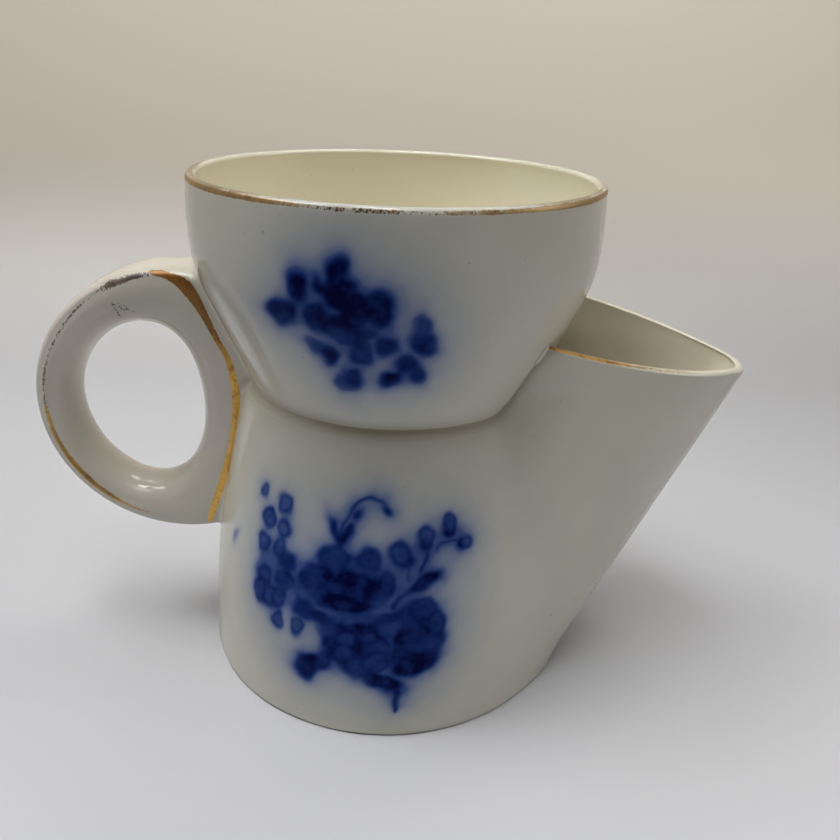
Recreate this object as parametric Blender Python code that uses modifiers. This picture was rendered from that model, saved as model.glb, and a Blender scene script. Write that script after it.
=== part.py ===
"""Glazed earthenware shaving scuttle.

A soap cup is luted into the neck of a hot water reservoir. A wide teardrop spout opens beside the
cup, so that a brush can be dipped in the water, and a ring handle stands opposite. The pieces are
separate castings, and the beads of slip that stick them together are pieces of their own.

Metres, +Z up, z = 0 on the table. The spout points along +X and the handle along -X.
"""
import math

import bmesh
import bpy
from mathutils import Matrix, Vector

# Whole object
HEIGHT = 0.1065             # table to the rim of the soap cup
CUP_STAND = 0.0407          # rim above the waist, where the cup is stuck on the reservoir
WALL = 0.0032               # thickness of the cast walls
LUTING_GAP = 0.0003         # clearance between neighbouring pieces
TURN_STEPS = 72             # facets round a turned piece

# Reservoir: a bell with a steep foot wall, a soft knee and a conical shoulder
BASE_RADIUS = 0.0415
WAIST_LEDGE = 0.0011        # breadth of the shoulder's top outside the cup
FOOT_WALL_TAPER = 0.055     # inward lean below the knee, per unit of height
KNEE_SHARE = 0.392          # height of the knee, as a share of the waist's
KNEE_SOFTNESS = 0.0046
RESERVOIR_FLOOR = 0.0040
FOOT_RING_WIDTH = 0.0060
FOOT_RECESS = 0.0014        # depth of the underside inside the foot ring
FOOT_EDGE = 0.0010          # rounding of the foot's outer edge
WALL_STEPS = 13             # facets up the reservoir's wall

# Soap cup: a band that stands almost straight, then a cone with a pierced floor
RIM_RADIUS = 0.0405
CUP_WALL = 0.0030
CUP_BELLY = 0.0004          # swell of the band halfway down
KNUCKLE_DEPTH = 0.0178      # rim to the turn between the band and the cone
KNUCKLE_SOFTNESS = 0.0016
CONE_TAPER = 0.428          # inward lean of the cone, per unit of depth
CUP_SEAT = 0.0098           # waist to the underside of the cup, inside the reservoir
CUP_FLOOR = 0.0036
DRAIN_RADIUS = 0.0018
DRAIN_CIRCLE = 0.0100
DRAIN_COUNT = 6             # holes round the middle one
DRAIN_STEPS = 12
CUP_STEPS = 3               # facets up the band, and again up the cone
KNUCKLE_STEPS = 6
KNUCKLE_SPAN = 4            # half of the turn, in units of its softness
LIP_STEPS = 6

# Spout: every level is a teardrop with a round nose and two bulging flanks
SPOUT_REACH = 0.0769        # cup axis to the tip of the lip
TIP_RISE = 0.0030           # tip of the lip above the waist
SPOUT_FOOT = 0.0010         # lower end of the spout on the reservoir's wall
SPOUT_FOOT_SWELL = 0.0018   # nose line outside the reservoir's base at the table
SPOUT_SILL = 0.0080         # lower edge of the passage from the reservoir
FOOT_FLANK_INSET = 0.0075   # flanks inside the reservoir's base at the table
MOUTH_HALF_WIDTH = 0.0226   # half width of the teardrop at the corner of the mouth
FOOT_WIDEST = 0.0060        # cup axis to the widest place at the table
MOUTH_WIDEST = 0.0300       # cup axis to the widest place at the corner of the mouth
NOSE_FOOT_INSET = 0.0012    # nose radius under the half width of the teardrop at the table
NOSE_TIP_RADIUS = 0.0083
MOUTH_FALL = 0.235          # fall of the lip from the cup to the tip, per unit of length
MOUTH_LEAN = 0.060          # rise of the hand trimmed lip from front to back, per unit of width
SPOUT_LEVELS = 15
NOSE_STEPS = 8
FLANK_STEPS = 10

# Handle: a flat sided ring, cut to the cup and the reservoir
HANDLE_REACH = 0.0761       # cup axis to the outside of the ring
RING_RADIUS = 0.0302
RING_DROP = 0.0087          # middle of the ring below the waist
HANDLE_THICKNESS = 0.0142
RING_CROWN = 0.0015         # swell of the ring's outer face between its flat sides
CROWN_STEPS = 5
RING_BAND = 0.0077          # breadth of the ring outside the finger hole
ROOT_WEB = 0.0070           # breadth of the ring between the finger hole and the reservoir
HOLE_DROP = 0.0009          # middle of the finger hole below the middle of the ring
HOLE_HEADROOM = 0.0110      # breadth of the ring over and under the finger hole
HOLE_LEAN = 0.02            # lean of the finger hole's top towards the cup, in radians
HOLE_FLARE = 0.0026         # rounding of the finger hole's edges
HOLE_STEPS = 36
FLARE_STEPS = 5

# Beads of slip at the joins
WAIST_BEAD = 0.0030         # height of the bead above the waist
HANDLE_BEAD = 0.0020        # legs of the bead beside the handle
HANDLE_BEAD_LEVELS = 16
LIP_BEAD = 0.0024           # radius of the dab at each corner of the mouth
LIP_BEAD_STEPS = 12

CUT_MARGIN = 0.0100         # how far a cutter runs past what it cuts
MERGE = 0.00001

GLAZE_WHITE = (0.80, 0.79, 0.76)
GLAZE_CREAM = (0.82, 0.79, 0.68)
SLIP_WHITE = (0.78, 0.77, 0.73)
GLAZE_ROUGHNESS = 0.12
SLIP_ROUGHNESS = 0.20

WAIST_HEIGHT = HEIGHT - CUP_STAND
KNEE_HEIGHT = KNEE_SHARE * WAIST_HEIGHT
CUP_FOOT_HEIGHT = WAIST_HEIGHT - CUP_SEAT
TIP_HEIGHT = WAIST_HEIGHT + TIP_RISE
SPOUT_FOOT_REACH = BASE_RADIUS + SPOUT_FOOT_SWELL
SPOUT_LEAN = (SPOUT_REACH - SPOUT_FOOT_REACH) / TIP_HEIGHT
FOOT_HALF_WIDTH = BASE_RADIUS - FOOT_FLANK_INSET
NOSE_FOOT_RADIUS = FOOT_HALF_WIDTH - NOSE_FOOT_INSET


def clear_scene():
    for obj in list(bpy.data.objects):
        bpy.data.objects.remove(obj, do_unlink=True)


def soft_ramp(distance, softness):
    """Zero before the bend and equal to the distance after it, with a soft turn between."""
    return softness * math.log1p(math.exp(distance / softness))


def cup_radius(z):
    """Outside of the soap cup, also continued above the rim for cutters."""
    depth = max(HEIGHT - z, 0.0)
    swell = CUP_BELLY * math.sin(math.pi * min(depth / KNUCKLE_DEPTH, 1.0))
    return RIM_RADIUS + swell - CONE_TAPER * soft_ramp(depth - KNUCKLE_DEPTH, KNUCKLE_SOFTNESS)


WAIST_RADIUS = cup_radius(WAIST_HEIGHT) + WAIST_LEDGE
SHOULDER_TAPER = (BASE_RADIUS - FOOT_WALL_TAPER * WAIST_HEIGHT - WAIST_RADIUS) / soft_ramp(
    WAIST_HEIGHT - KNEE_HEIGHT, KNEE_SOFTNESS)


def body_radius(z):
    """Outside of the reservoir, also continued above the waist for the spout's root."""
    return BASE_RADIUS - FOOT_WALL_TAPER * z - SHOULDER_TAPER * soft_ramp(z - KNEE_HEIGHT, KNEE_SOFTNESS)


HANDLE_HALF = HANDLE_THICKNESS / 2
RING_X = RING_RADIUS - HANDLE_REACH
RING_HEIGHT = WAIST_HEIGHT - RING_DROP
HOLE_HEIGHT = RING_HEIGHT - HOLE_DROP
HOLE_HALF_WIDTH = (HANDLE_REACH - RING_BAND - ROOT_WEB - body_radius(HOLE_HEIGHT)) / 2
HOLE_HALF_HEIGHT = RING_RADIUS - HOLE_HEADROOM
HOLE_X = RING_BAND + HOLE_HALF_WIDTH - HANDLE_REACH


def steps_between(low, high, count):
    return [low + (high - low) * i / count for i in range(count + 1)]


def arc(centre, radius, start, end, count):
    return [(centre[0] + radius * math.cos(a), centre[1] + radius * math.sin(a))
            for a in steps_between(start, end, count)]


def spout_share(z):
    """How far a level lies from the table to the tip, at most 1."""
    return min(z / TIP_HEIGHT, 1.0)


def spout_nose(z):
    """Cup axis to the straight nose line of the spout at one level."""
    return SPOUT_FOOT_REACH + SPOUT_LEAN * z


def teardrop_arcs(z, grow):
    """Radii and centres of the nose and of the +Y flank at one level, grown outwards by grow."""
    share = spout_share(z)
    nose = NOSE_FOOT_RADIUS + (NOSE_TIP_RADIUS - NOSE_FOOT_RADIUS) * share
    half_width = FOOT_HALF_WIDTH + (MOUTH_HALF_WIDTH - FOOT_HALF_WIDTH) * share
    flank_x = FOOT_WIDEST + (MOUTH_WIDEST - FOOT_WIDEST) * share
    nose_x = spout_nose(z) - nose
    flank = ((nose_x - flank_x) ** 2 + half_width ** 2 - nose ** 2) / (2 * (half_width - nose))
    return nose + grow, nose_x, flank + grow, flank_x, half_width - flank


def teardrop(z, grow):
    """Closed outline of the spout at one level, cut off straight beside the cup axis.

    A shrunken outline starts further back than a full one, so the hollow is open to the reservoir.
    """
    nose, nose_x, flank, flank_x, flank_y = teardrop_arcs(z, grow)
    nose_turn = math.atan2(-flank_y, nose_x - flank_x)
    root_turn = math.acos((grow - flank_x) / flank)
    half = arc((nose_x, 0.0), nose, 0.0, nose_turn, NOSE_STEPS)
    half += arc((flank_x, flank_y), flank, nose_turn, root_turn, FLANK_STEPS)[1:]
    return half + [(x, -y) for x, y in reversed(half[1:])]


def flank_on_cup(z):
    """Where the spout's +Y flank meets the outside of the cup at one level."""
    nose, nose_x, flank, flank_x, flank_y = teardrop_arcs(z, 0.0)
    radius = cup_radius(z)
    spread = math.hypot(flank_x, flank_y)
    turn = math.acos((radius ** 2 + spread ** 2 - flank ** 2) / (2 * radius * spread))
    angle = math.atan2(flank_y, flank_x) + turn
    return radius * math.cos(angle), radius * math.sin(angle)


def mouth_height(x, y):
    return TIP_HEIGHT + MOUTH_FALL * (SPOUT_REACH - x) + MOUTH_LEAN * y


def mouth_corner(side):
    """Corner of the lip at the cup: side is 1 at the back and -1 at the front."""
    low = WAIST_HEIGHT
    high = HEIGHT - KNUCKLE_DEPTH
    while high - low > MERGE:
        z = (low + high) / 2
        x, y = flank_on_cup(z)
        if z < mouth_height(x, side * y):
            low = z
        else:
            high = z
    x, y = flank_on_cup(low)
    return Vector((x, side * y, low))


def glaze(name, colour, roughness):
    material = bpy.data.materials.new(name)
    material.use_nodes = True
    shader = material.node_tree.nodes["Principled BSDF"]
    shader.inputs["Base Color"].default_value = (*colour, 1.0)
    shader.inputs["Roughness"].default_value = roughness
    shader.inputs["Metallic"].default_value = 0.0
    return material


def new_collection(name):
    collection = bpy.data.collections.new(name)
    bpy.context.scene.collection.children.link(collection)
    return collection


def add_object(name, mesh, group):
    obj = bpy.data.objects.new(name, mesh)
    group.objects.link(obj)
    obj.parent = scuttle
    if group is cutters:
        obj.hide_render = True
        obj.display_type = "WIRE"
    return obj


def turned(name, profile, group, axis="Z", closed=False):
    """Profile of (radius, height) points, spun once round the axis."""
    last = len(profile)
    edges = [(i, i + 1) for i in range(last - 1)]
    if closed:
        edges.append((last - 1, 0))
    points = [(r, 0.0, h) if axis == "Z" else (r, h, 0.0) for r, h in profile]
    mesh = bpy.data.meshes.new(name)
    mesh.from_pydata(points, edges, [])
    obj = add_object(name, mesh, group)
    spin = obj.modifiers.new("spin", "SCREW")
    spin.axis = axis
    spin.steps = TURN_STEPS
    spin.render_steps = TURN_STEPS
    spin.use_merge_vertices = True
    spin.merge_threshold = MERGE
    spin.use_smooth_shade = True
    return obj


def mesh_object(name, bm, group):
    bmesh.ops.recalc_face_normals(bm, faces=bm.faces)
    mesh = bpy.data.meshes.new(name)
    bm.to_mesh(mesh)
    bm.free()
    return add_object(name, mesh, group)


def loft(name, rings, group):
    """Closed skin through rings that have the same number of points."""
    bm = bmesh.new()
    loops = [[bm.verts.new(point) for point in ring] for ring in rings]
    count = len(loops[0])
    for lower, upper in zip(loops, loops[1:]):
        for i in range(count):
            j = (i + 1) % count
            bm.faces.new((lower[i], lower[j], upper[j], upper[i]))
    bm.faces.new(loops[0])
    bm.faces.new(loops[-1])
    return mesh_object(name, bm, group)


def block(name, low, high, group):
    """Box between two corners."""
    low = Vector(low)
    high = Vector(high)
    bm = bmesh.new()
    place = Matrix.Translation((low + high) / 2) @ Matrix.Diagonal((*(high - low), 1.0))
    bmesh.ops.create_cube(bm, size=1.0, matrix=place)
    return mesh_object(name, bm, group)


def cut(obj, *tools):
    for tool in tools:
        step = obj.modifiers.new("cut_" + tool.name, "BOOLEAN")
        step.operation = "DIFFERENCE"
        step.solver = "EXACT"
        step.object = tool


def finish(obj, material):
    obj.data.materials.append(material)


def cup_outline():
    """Heights down the outside of the cup, closer together at the turn."""
    knuckle = HEIGHT - KNUCKLE_DEPTH
    soft = KNUCKLE_SPAN * KNUCKLE_SOFTNESS
    upper = steps_between(HEIGHT - CUP_WALL / 2, knuckle + soft, CUP_STEPS)
    turn = steps_between(knuckle + soft, knuckle - soft, KNUCKLE_STEPS)[1:]
    lower = steps_between(knuckle - soft, CUP_FOOT_HEIGHT, CUP_STEPS)[1:]
    return upper + turn + lower


def cup_solid(name, grow):
    """The cup's outside as a solid, for cutting the seat in the reservoir's neck."""
    top = HEIGHT + CUT_MARGIN
    bottom = CUP_FOOT_HEIGHT - grow
    profile = [(0.0, top), (cup_radius(top) + grow, top)]
    profile += [(cup_radius(z) + grow, z) for z in cup_outline()[:-1]]
    profile += [(cup_radius(CUP_FOOT_HEIGHT) + grow, bottom), (0.0, bottom)]
    return turned(name, profile, cutters)


def vessel_solid(name, grow):
    """The outside of the reservoir and of the cup on it, for cutting what is stuck to them."""
    top = HEIGHT + CUT_MARGIN
    ledge = WAIST_HEIGHT + grow
    profile = [(0.0, top), (cup_radius(top) + grow, top)]
    profile += [(cup_radius(z) + grow, z) for z in cup_outline() if z > ledge]
    profile += [(cup_radius(ledge) + grow, ledge), (WAIST_RADIUS + grow, ledge)]
    walls = steps_between(0.0, WAIST_HEIGHT, WALL_STEPS)[:-1]
    profile += [(body_radius(z) + grow, z) for z in reversed(walls)]
    profile += [(BASE_RADIUS + grow, -CUT_MARGIN), (0.0, -CUT_MARGIN)]
    return turned(name, profile, cutters)


def spout_solid(name, low, grow, group):
    """The spout as a solid from the level low to above the mouth, grown by grow."""
    levels = steps_between(low, HEIGHT - KNUCKLE_DEPTH, SPOUT_LEVELS)
    rings = [[(x, y, z) for x, y in teardrop(z, grow)] for z in levels]
    return loft(name, rings, group)


def make_reservoir():
    floor_top = FOOT_RECESS + RESERVOIR_FLOOR
    ring_inner = BASE_RADIUS - FOOT_EDGE - FOOT_RING_WIDTH
    heights = steps_between(floor_top, WAIST_HEIGHT, WALL_STEPS)
    profile = [(0.0, floor_top)]
    profile += [(body_radius(z) - WALL, z) for z in heights]
    profile += [(body_radius(z), z) for z in reversed(heights)]
    profile += [(body_radius(FOOT_EDGE), FOOT_EDGE), (BASE_RADIUS - FOOT_EDGE, 0.0)]
    profile += [(ring_inner, 0.0), (ring_inner - FOOT_RECESS, FOOT_RECESS), (0.0, FOOT_RECESS)]
    reservoir = turned("reservoir", profile, pieces)
    cut(reservoir, spout_hollow, cup_outside)
    finish(reservoir, white)


def make_soap_cup():
    lip = CUP_WALL / 2
    outside = cup_outline()
    floor_top = CUP_FOOT_HEIGHT + CUP_FLOOR
    inside = [z for z in outside if z > floor_top + CUP_WALL]
    floor_radius = cup_radius(floor_top) - 2 * CUP_WALL
    profile = [(0.0, floor_top), (floor_radius, floor_top)]
    profile += [(cup_radius(z) - CUP_WALL, z) for z in reversed(inside)]
    profile += [(RIM_RADIUS - lip + lip * math.cos(a), HEIGHT - lip + lip * math.sin(a))
                for a in steps_between(math.pi, 0.0, LIP_STEPS)[1:-1]]
    profile += [(cup_radius(z), z) for z in outside[:-1]]
    profile += [(cup_radius(CUP_FOOT_HEIGHT), CUP_FOOT_HEIGHT + lip)]
    profile += [(cup_radius(CUP_FOOT_HEIGHT) - lip, CUP_FOOT_HEIGHT), (0.0, CUP_FOOT_HEIGHT)]
    soap_cup = turned("soap_cup", profile, pieces)
    cut(soap_cup, make_drain_drills())
    finish(soap_cup, cream)


def make_drain_drills():
    places = [(0.0, 0.0)]
    for i in range(DRAIN_COUNT):
        angle = 2 * math.pi * (i + 0.5) / DRAIN_COUNT
        places.append((DRAIN_CIRCLE * math.cos(angle), DRAIN_CIRCLE * math.sin(angle)))
    bm = bmesh.new()
    for x, y in places:
        middle = Matrix.Translation((x, y, CUP_FOOT_HEIGHT + CUP_FLOOR / 2))
        bmesh.ops.create_cone(bm, cap_ends=True, segments=DRAIN_STEPS, radius1=DRAIN_RADIUS,
                              radius2=DRAIN_RADIUS, depth=CUP_FLOOR + CUT_MARGIN, matrix=middle)
    return mesh_object("drain_drills", bm, cutters)


def make_mouth_cutter():
    """Block that lies on the plane of the mouth and takes off what is above it."""
    size = 2 * SPOUT_REACH
    up = Vector((MOUTH_FALL, -MOUTH_LEAN, 1.0)).normalized()
    tip = Vector((SPOUT_REACH, 0.0, TIP_HEIGHT))
    place = Matrix.Translation(tip + up * size / 2) @ up.to_track_quat("Z", "Y").to_matrix().to_4x4()
    bm = bmesh.new()
    bmesh.ops.create_cube(bm, size=1.0, matrix=place @ Matrix.Diagonal((2 * size, 2 * size, size, 1.0)))
    return mesh_object("mouth_plane", bm, cutters)


def make_spout():
    spout = spout_solid("spout", SPOUT_FOOT, 0.0, pieces)
    cut(spout, spout_hollow, vessel_outside, make_mouth_cutter())
    finish(spout, white)


def finger_hole(offset, y):
    """Leaning oval of the finger hole, grown by offset, at one place across the handle."""
    ring = []
    for i in range(HOLE_STEPS):
        angle = 2 * math.pi * i / HOLE_STEPS
        across = (HOLE_HALF_WIDTH + offset) * math.cos(angle)
        along = (HOLE_HALF_HEIGHT + offset) * math.sin(angle)
        x = HOLE_X + across * math.cos(HOLE_LEAN) + along * math.sin(HOLE_LEAN)
        z = HOLE_HEIGHT - across * math.sin(HOLE_LEAN) + along * math.cos(HOLE_LEAN)
        ring.append((x, y, z))
    return ring


def make_finger_hole_cutter():
    rings = [finger_hole(HOLE_FLARE, -HANDLE_HALF - CUT_MARGIN)]
    for turn in steps_between(-math.pi / 2, math.pi / 2, 2 * FLARE_STEPS):
        rings.append(finger_hole(HOLE_FLARE * (1 - math.cos(turn)), HANDLE_HALF * math.sin(turn)))
    rings.append(finger_hole(HOLE_FLARE, HANDLE_HALF + CUT_MARGIN))
    return loft("finger_hole", rings, cutters)


def make_handle():
    """Disc with a crowned edge, turned about Y, less the finger hole, the reservoir and the cup."""
    flat = RING_RADIUS - RING_CROWN
    profile = [(0.0, HANDLE_HALF)]
    for turn in steps_between(math.pi / 2, -math.pi / 2, 2 * CROWN_STEPS):
        profile.append((flat + RING_CROWN * math.cos(turn), HANDLE_HALF * math.sin(turn)))
    profile.append((0.0, -HANDLE_HALF))
    handle = turned("handle", profile, pieces, axis="Y")
    handle.location = (RING_X, 0.0, RING_HEIGHT)
    cut(handle, make_finger_hole_cutter(), vessel_outside)
    finish(handle, white)


def make_waist_bead(name, side):
    """Half of the slip ring between the cup and the shoulder, from the handle to the spout."""
    low = WAIST_HEIGHT + LUTING_GAP
    high = WAIST_HEIGHT + WAIST_BEAD
    profile = [(cup_radius(high) + LUTING_GAP, high), (body_radius(WAIST_HEIGHT), low),
               (cup_radius(low) + LUTING_GAP, low)]
    bead = turned(name, profile, pieces, closed=True)
    far = 2 * BASE_RADIUS
    clear = HANDLE_HALF + HANDLE_BEAD + 2 * LUTING_GAP
    beside_handle = block(name + "_handle_side", (-far, -clear, 0.0), (0.0, clear, HEIGHT), cutters)
    other_half = block(name + "_other_half", (-far, 0.0, 0.0), (far, -side * far, HEIGHT), cutters)
    cut(bead, spout_outside, beside_handle, other_half)
    finish(bead, slip)


def make_lip_bead(name, side):
    """Dab of slip in the corner between the cup and the end of the lip."""
    bm = bmesh.new()
    bmesh.ops.create_uvsphere(bm, u_segments=2 * LIP_BEAD_STEPS, v_segments=LIP_BEAD_STEPS,
                              radius=LIP_BEAD, matrix=Matrix.Translation(mouth_corner(side)))
    bead = mesh_object(name, bm, pieces)
    cut(bead, vessel_outside, spout_outside)
    finish(bead, slip)


def make_handle_bead(name, side):
    """Three sided bead of slip down the corner between the handle and the wall it is stuck to."""
    ring_rise = math.sqrt(RING_RADIUS ** 2 - (RING_X + WAIST_RADIUS) ** 2)
    low = RING_HEIGHT - ring_rise + HANDLE_BEAD
    high = RING_HEIGHT + ring_rise - 2 * HANDLE_BEAD
    inner = HANDLE_HALF + LUTING_GAP
    outer = inner + HANDLE_BEAD
    rings = []
    for z in steps_between(low, high, HANDLE_BEAD_LEVELS):
        wall = max(body_radius(z), cup_radius(z)) + 2 * LUTING_GAP
        near = -math.sqrt(wall ** 2 - inner ** 2)
        far = -math.sqrt(wall ** 2 - outer ** 2)
        rings.append([(near, side * inner, z), (near - HANDLE_BEAD, side * inner, z), (far, side * outer, z)])
    bead = loft(name, rings, pieces)
    finish(bead, slip)


clear_scene()
pieces = new_collection("shaving_scuttle")
cutters = new_collection("shaving_scuttle_cutters")
scuttle = bpy.data.objects.new("scuttle_frame", None)
pieces.objects.link(scuttle)
scuttle.location.x = (HANDLE_REACH - SPOUT_REACH) / 2

white = glaze("white_glaze", GLAZE_WHITE, GLAZE_ROUGHNESS)
cream = glaze("cream_glaze", GLAZE_CREAM, GLAZE_ROUGHNESS)
slip = glaze("slip_seam", SLIP_WHITE, SLIP_ROUGHNESS)

cup_outside = cup_solid("cup_outside", LUTING_GAP)
vessel_outside = vessel_solid("vessel_outside", LUTING_GAP)
spout_outside = spout_solid("spout_outside", SPOUT_FOOT, LUTING_GAP, cutters)
spout_hollow = spout_solid("spout_hollow", SPOUT_SILL, -WALL, cutters)

make_reservoir()
make_soap_cup()
make_spout()
make_handle()
for side_name, side_sign in (("front", -1), ("back", 1)):
    make_waist_bead("waist_slip_" + side_name, side_sign)
    make_lip_bead("lip_slip_" + side_name, side_sign)
    make_handle_bead("handle_slip_" + side_name, side_sign)
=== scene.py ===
"""Looks of the glazed shaving scuttle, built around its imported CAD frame.

Shapes are worked out in millimetres from the axis of the soap cup, with z = 0 on the table, and are
turned into metres of the shared frame when a piece is made.
"""

import math

import bmesh
import bpy
import numpy as np
from mathutils import Euler, Matrix, Vector


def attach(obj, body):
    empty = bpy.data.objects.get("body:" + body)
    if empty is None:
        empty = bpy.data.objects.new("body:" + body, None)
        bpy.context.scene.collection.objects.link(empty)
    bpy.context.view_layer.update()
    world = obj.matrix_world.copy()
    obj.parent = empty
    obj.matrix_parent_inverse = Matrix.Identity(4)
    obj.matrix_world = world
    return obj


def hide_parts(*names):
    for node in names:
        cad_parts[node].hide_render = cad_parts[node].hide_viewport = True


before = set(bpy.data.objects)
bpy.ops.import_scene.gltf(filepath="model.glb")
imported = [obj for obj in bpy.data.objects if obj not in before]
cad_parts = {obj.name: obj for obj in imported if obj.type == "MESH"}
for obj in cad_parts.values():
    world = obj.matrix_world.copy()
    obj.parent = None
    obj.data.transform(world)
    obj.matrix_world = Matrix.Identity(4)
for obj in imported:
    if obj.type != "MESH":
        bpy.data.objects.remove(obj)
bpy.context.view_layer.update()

MM = 0.001

# Sizes that the CAD pieces have too
HEIGHT = 106.5
WAIST_HEIGHT = 65.8
WALL = 3.2
BASE_RADIUS = 41.5
WAIST_LEDGE = 1.1
FOOT_WALL_TAPER = 0.055
KNEE_HEIGHT = 0.392 * WAIST_HEIGHT
KNEE_SOFTNESS = 4.6
CHAMBER_FLOOR = 5.4
FOOT_RING_WIDTH = 6.0
FOOT_RECESS = 1.4
RIM_RADIUS = 40.5
CUP_WALL = 3.0
CUP_BELLY = 0.4
KNUCKLE_DEPTH = 17.8
KNUCKLE_SOFTNESS = 1.6
CONE_TAPER = 0.428
CUP_FOOT_HEIGHT = 56.0
CUP_FLOOR = 3.6
DRAIN_RADIUS = 1.8
DRAIN_CIRCLE = 10.0
DRAIN_COUNT = 6
SPOUT_REACH = 76.9
TIP_HEIGHT = 68.8
SPOUT_FOOT_REACH = 43.3
SPOUT_SILL = 8.0
FOOT_HALF_WIDTH = 34.0
MOUTH_HALF_WIDTH = 22.6
FOOT_WIDEST = 6.0
MOUTH_WIDEST = 30.0
NOSE_FOOT_RADIUS = 32.8
NOSE_TIP_RADIUS = 8.3
MOUTH_FALL = 0.235
MOUTH_LEAN = 0.060
HANDLE_REACH = 76.1
HANDLE_HALF = 7.1
RING_RADIUS = 30.2
RING_CROWN = 1.5
RING_HEIGHT = 57.1
HOLE_X = -54.5
HOLE_HEIGHT = 56.2
HOLE_HALF_WIDTH = 13.9
HOLE_HALF_HEIGHT = 19.2
HOLE_LEAN = 0.02
LIP_END_X = 32.0            # the lip of the spout begins this far from the axis

AXIS_SHIFT = (HANDLE_REACH - SPOUT_REACH) / 2
RING_X = RING_RADIUS - HANDLE_REACH
SPOUT_LEAN = (SPOUT_REACH - SPOUT_FOOT_REACH) / TIP_HEIGHT

# Softening, facets and slip sizes that only the looks have
SPOUT_BEHIND = -0.35        # cosine of the direction behind which there is no spout
SPOUT_BLEND = 3.2           # how far apart the two walls are when they start to flow together
FOOT_EDGE = 0.7             # rounding under the foot
FOOT_EDGE_ROWS = 5
FOOT_RING_EASE = ((-0.2, 0.15), (0.4, 0.0))   # soft inner edge of the foot ring: distance outward, height
FOOT_FLAT_END = 2.2         # distance of the last flat row of the foot ring from its outside
LIP_ROUND = 0.5             # rounding over the top of the spout's lip
LIP_WALL = 2.1              # thickness of the spout's wall at the lip
LIP_FEATHER = 16.0          # depth over which the lip thickens to the full wall
RIM_WALL = 1.9              # thickness of the cup's wall at its rim
RIM_FEATHER = 14.0          # depth over which the rim thickens to the full wall
WARE_STEP = 0.30            # width of a facet under the printed sprays
HANDLE_EMBED = 1.6          # how deep the ring's ends run into the walls
SHOULDER_TOP = 64.0         # where the shoulder turns in to the groove under the cup
SHOULDER_TURN = 1.30        # softness of that turn
GROOVE_SLOPE = 1.6          # inward fall of the groove's lower side, per unit of height
HANDLE_EDGE = 2.0           # rounding from the crown of the handle to its sides
SIDE_BULGE = 0.35           # how far the sides of the handle swell in their middle
BULGE_FADE = 4.0            # how far the ring is inside the wall where they have stopped swelling
SECTION_POWER = 2 / 3       # 1 makes an oval section, less a boxy one with round corners
HANDLE_COLUMNS = 480        # columns of facets round the ring
CROWN_ROWS = 25             # rows of them over its crown
SIDE_ROWS = 32              # on each of its sides
HOLE_ROWS = 29              # and in the finger hole
HOLE_ROUND = 4.6            # rounding from the sides of the handle into the finger hole
HOLE_EASE = (-0.4, -0.6)    # what that rounding takes off the hole's half width and half height
HOLE_SHIFT = -0.4           # finger hole moved away from the wall
HOLE_BEND_TOP = 2.6         # how far the top of the finger hole bends towards the wall
HOLE_BEND_FOOT = 1.2        # and its foot
CUP_OVERLAP = 0.6           # how far the shoulder runs up behind the cup's wall
OVERLAP_FADE = 4.0          # degrees from the end of the lip over which it gets there
ROUNDING_FADE = 2.0         # and over which the lip's rounding dies out
THINNEST = 0.2              # least wall between the outside and the inside
HANDLE_TURNS = (-180.0, -142.0)   # degrees of the reservoir's plain side beside the handle
PRINT_TURNS = (-141.5, -57.8)     # of its print
BACK_TURNS = (59.0, 180.0)        # and of its back
PLAIN_STEP = 1.5            # degrees between columns where the wall is plain
LIP_SIDE = 57.6             # degrees from the tip of the spout to where its columns end
LIP_COLUMNS = 150
LIP_SIDE_COLUMNS = 14
WALL_ROWS = 212
LIP_ROWS = 10
LIP_MIDDLE_ROW = 4          # of these, the first one that counts as inside
INSIDE_ROWS = 44
CHAMBER_FLOOR_SHARES = (0.7, 0.35)   # rows on the floor of the chamber, as shares of its radius
LINING_ROW = 2              # row over the lip where the cream lining begins
LINING_FADE = 6.0           # and the number of rows over which it comes in
CUP_FLOOR_BEND = 3.2        # hollow corner between the inside of the cup and its floor
CUP_BEND_STRETCH = 1.5      # how much wider than high that corner is
CUP_BEND_ROWS = 9
CUP_FOOT_EASE = 1.5         # soft edge under the cup
CUP_FOOT_BEVEL = 0.4
CUP_BELOW_PRINT = 72.0      # heights where the cup's plain rows end and begin
CUP_ABOVE_PRINT = 101.2
CUP_PRINT_HEIGHTS = (72.4, 101.0)   # and those of its close rows
CUP_PLAIN_ROWS = 12
RIM_ROWS = 17
CUP_INSIDE_ROWS = 50
CUP_COLUMNS = 420           # columns of facets round the cup
CUP_CROWDING = 0.55         # how much closer together they are at the front
RIM_TURN = 2.5              # depth below the rim where the cream lining gives way to white
RIM_FADE = 0.9              # width of that change, over the top of the rim
PLATE_SIDES = 180           # sides of the cup's floor plate
HOLE_SIDES = 28             # and of a drain hole
SEAL = 1e-6                 # points closer than this are one, in metres
CREASE_ABOVE = 0.25         # how far the brown of the crease, painted shade with dirt, spreads up the cup
CREASE_BELOW = 2.8          # and down the shoulder
CREASE_SHADE_AND_DIRT = 0.55          # how strong it is at the sides
CREASE_SHADE_AND_DIRT_MIDDLE = 0.35   # and how much stronger in the middle
CREASE_MIDDLE = 15.0        # distance over which that fades
SLIP_LEG = 0.5              # height of the slip line on each of the two walls
LINE_STATIONS = 150
LINE_UNDER_HANDLE = 0.6     # how far the slip line runs in under the side of the handle
LINE_ROOT = 0.9             # how far behind the crease it is closed
SLIP_ROOT = 0.7             # and how far behind the handle's root its fillets are
ROOT_STEPS = 30             # points of each quarter of that root
ROOT_STATIONS = 170         # and of a fillet
FLANK_EDGE = 0.05           # points of the root this near to the flat side belong to it
CROWNED_FROM = 0.8          # share of half the flank where its fillet begins to follow the crown
CROWNED_FADE = 0.2          # and over which it gets there
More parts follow.
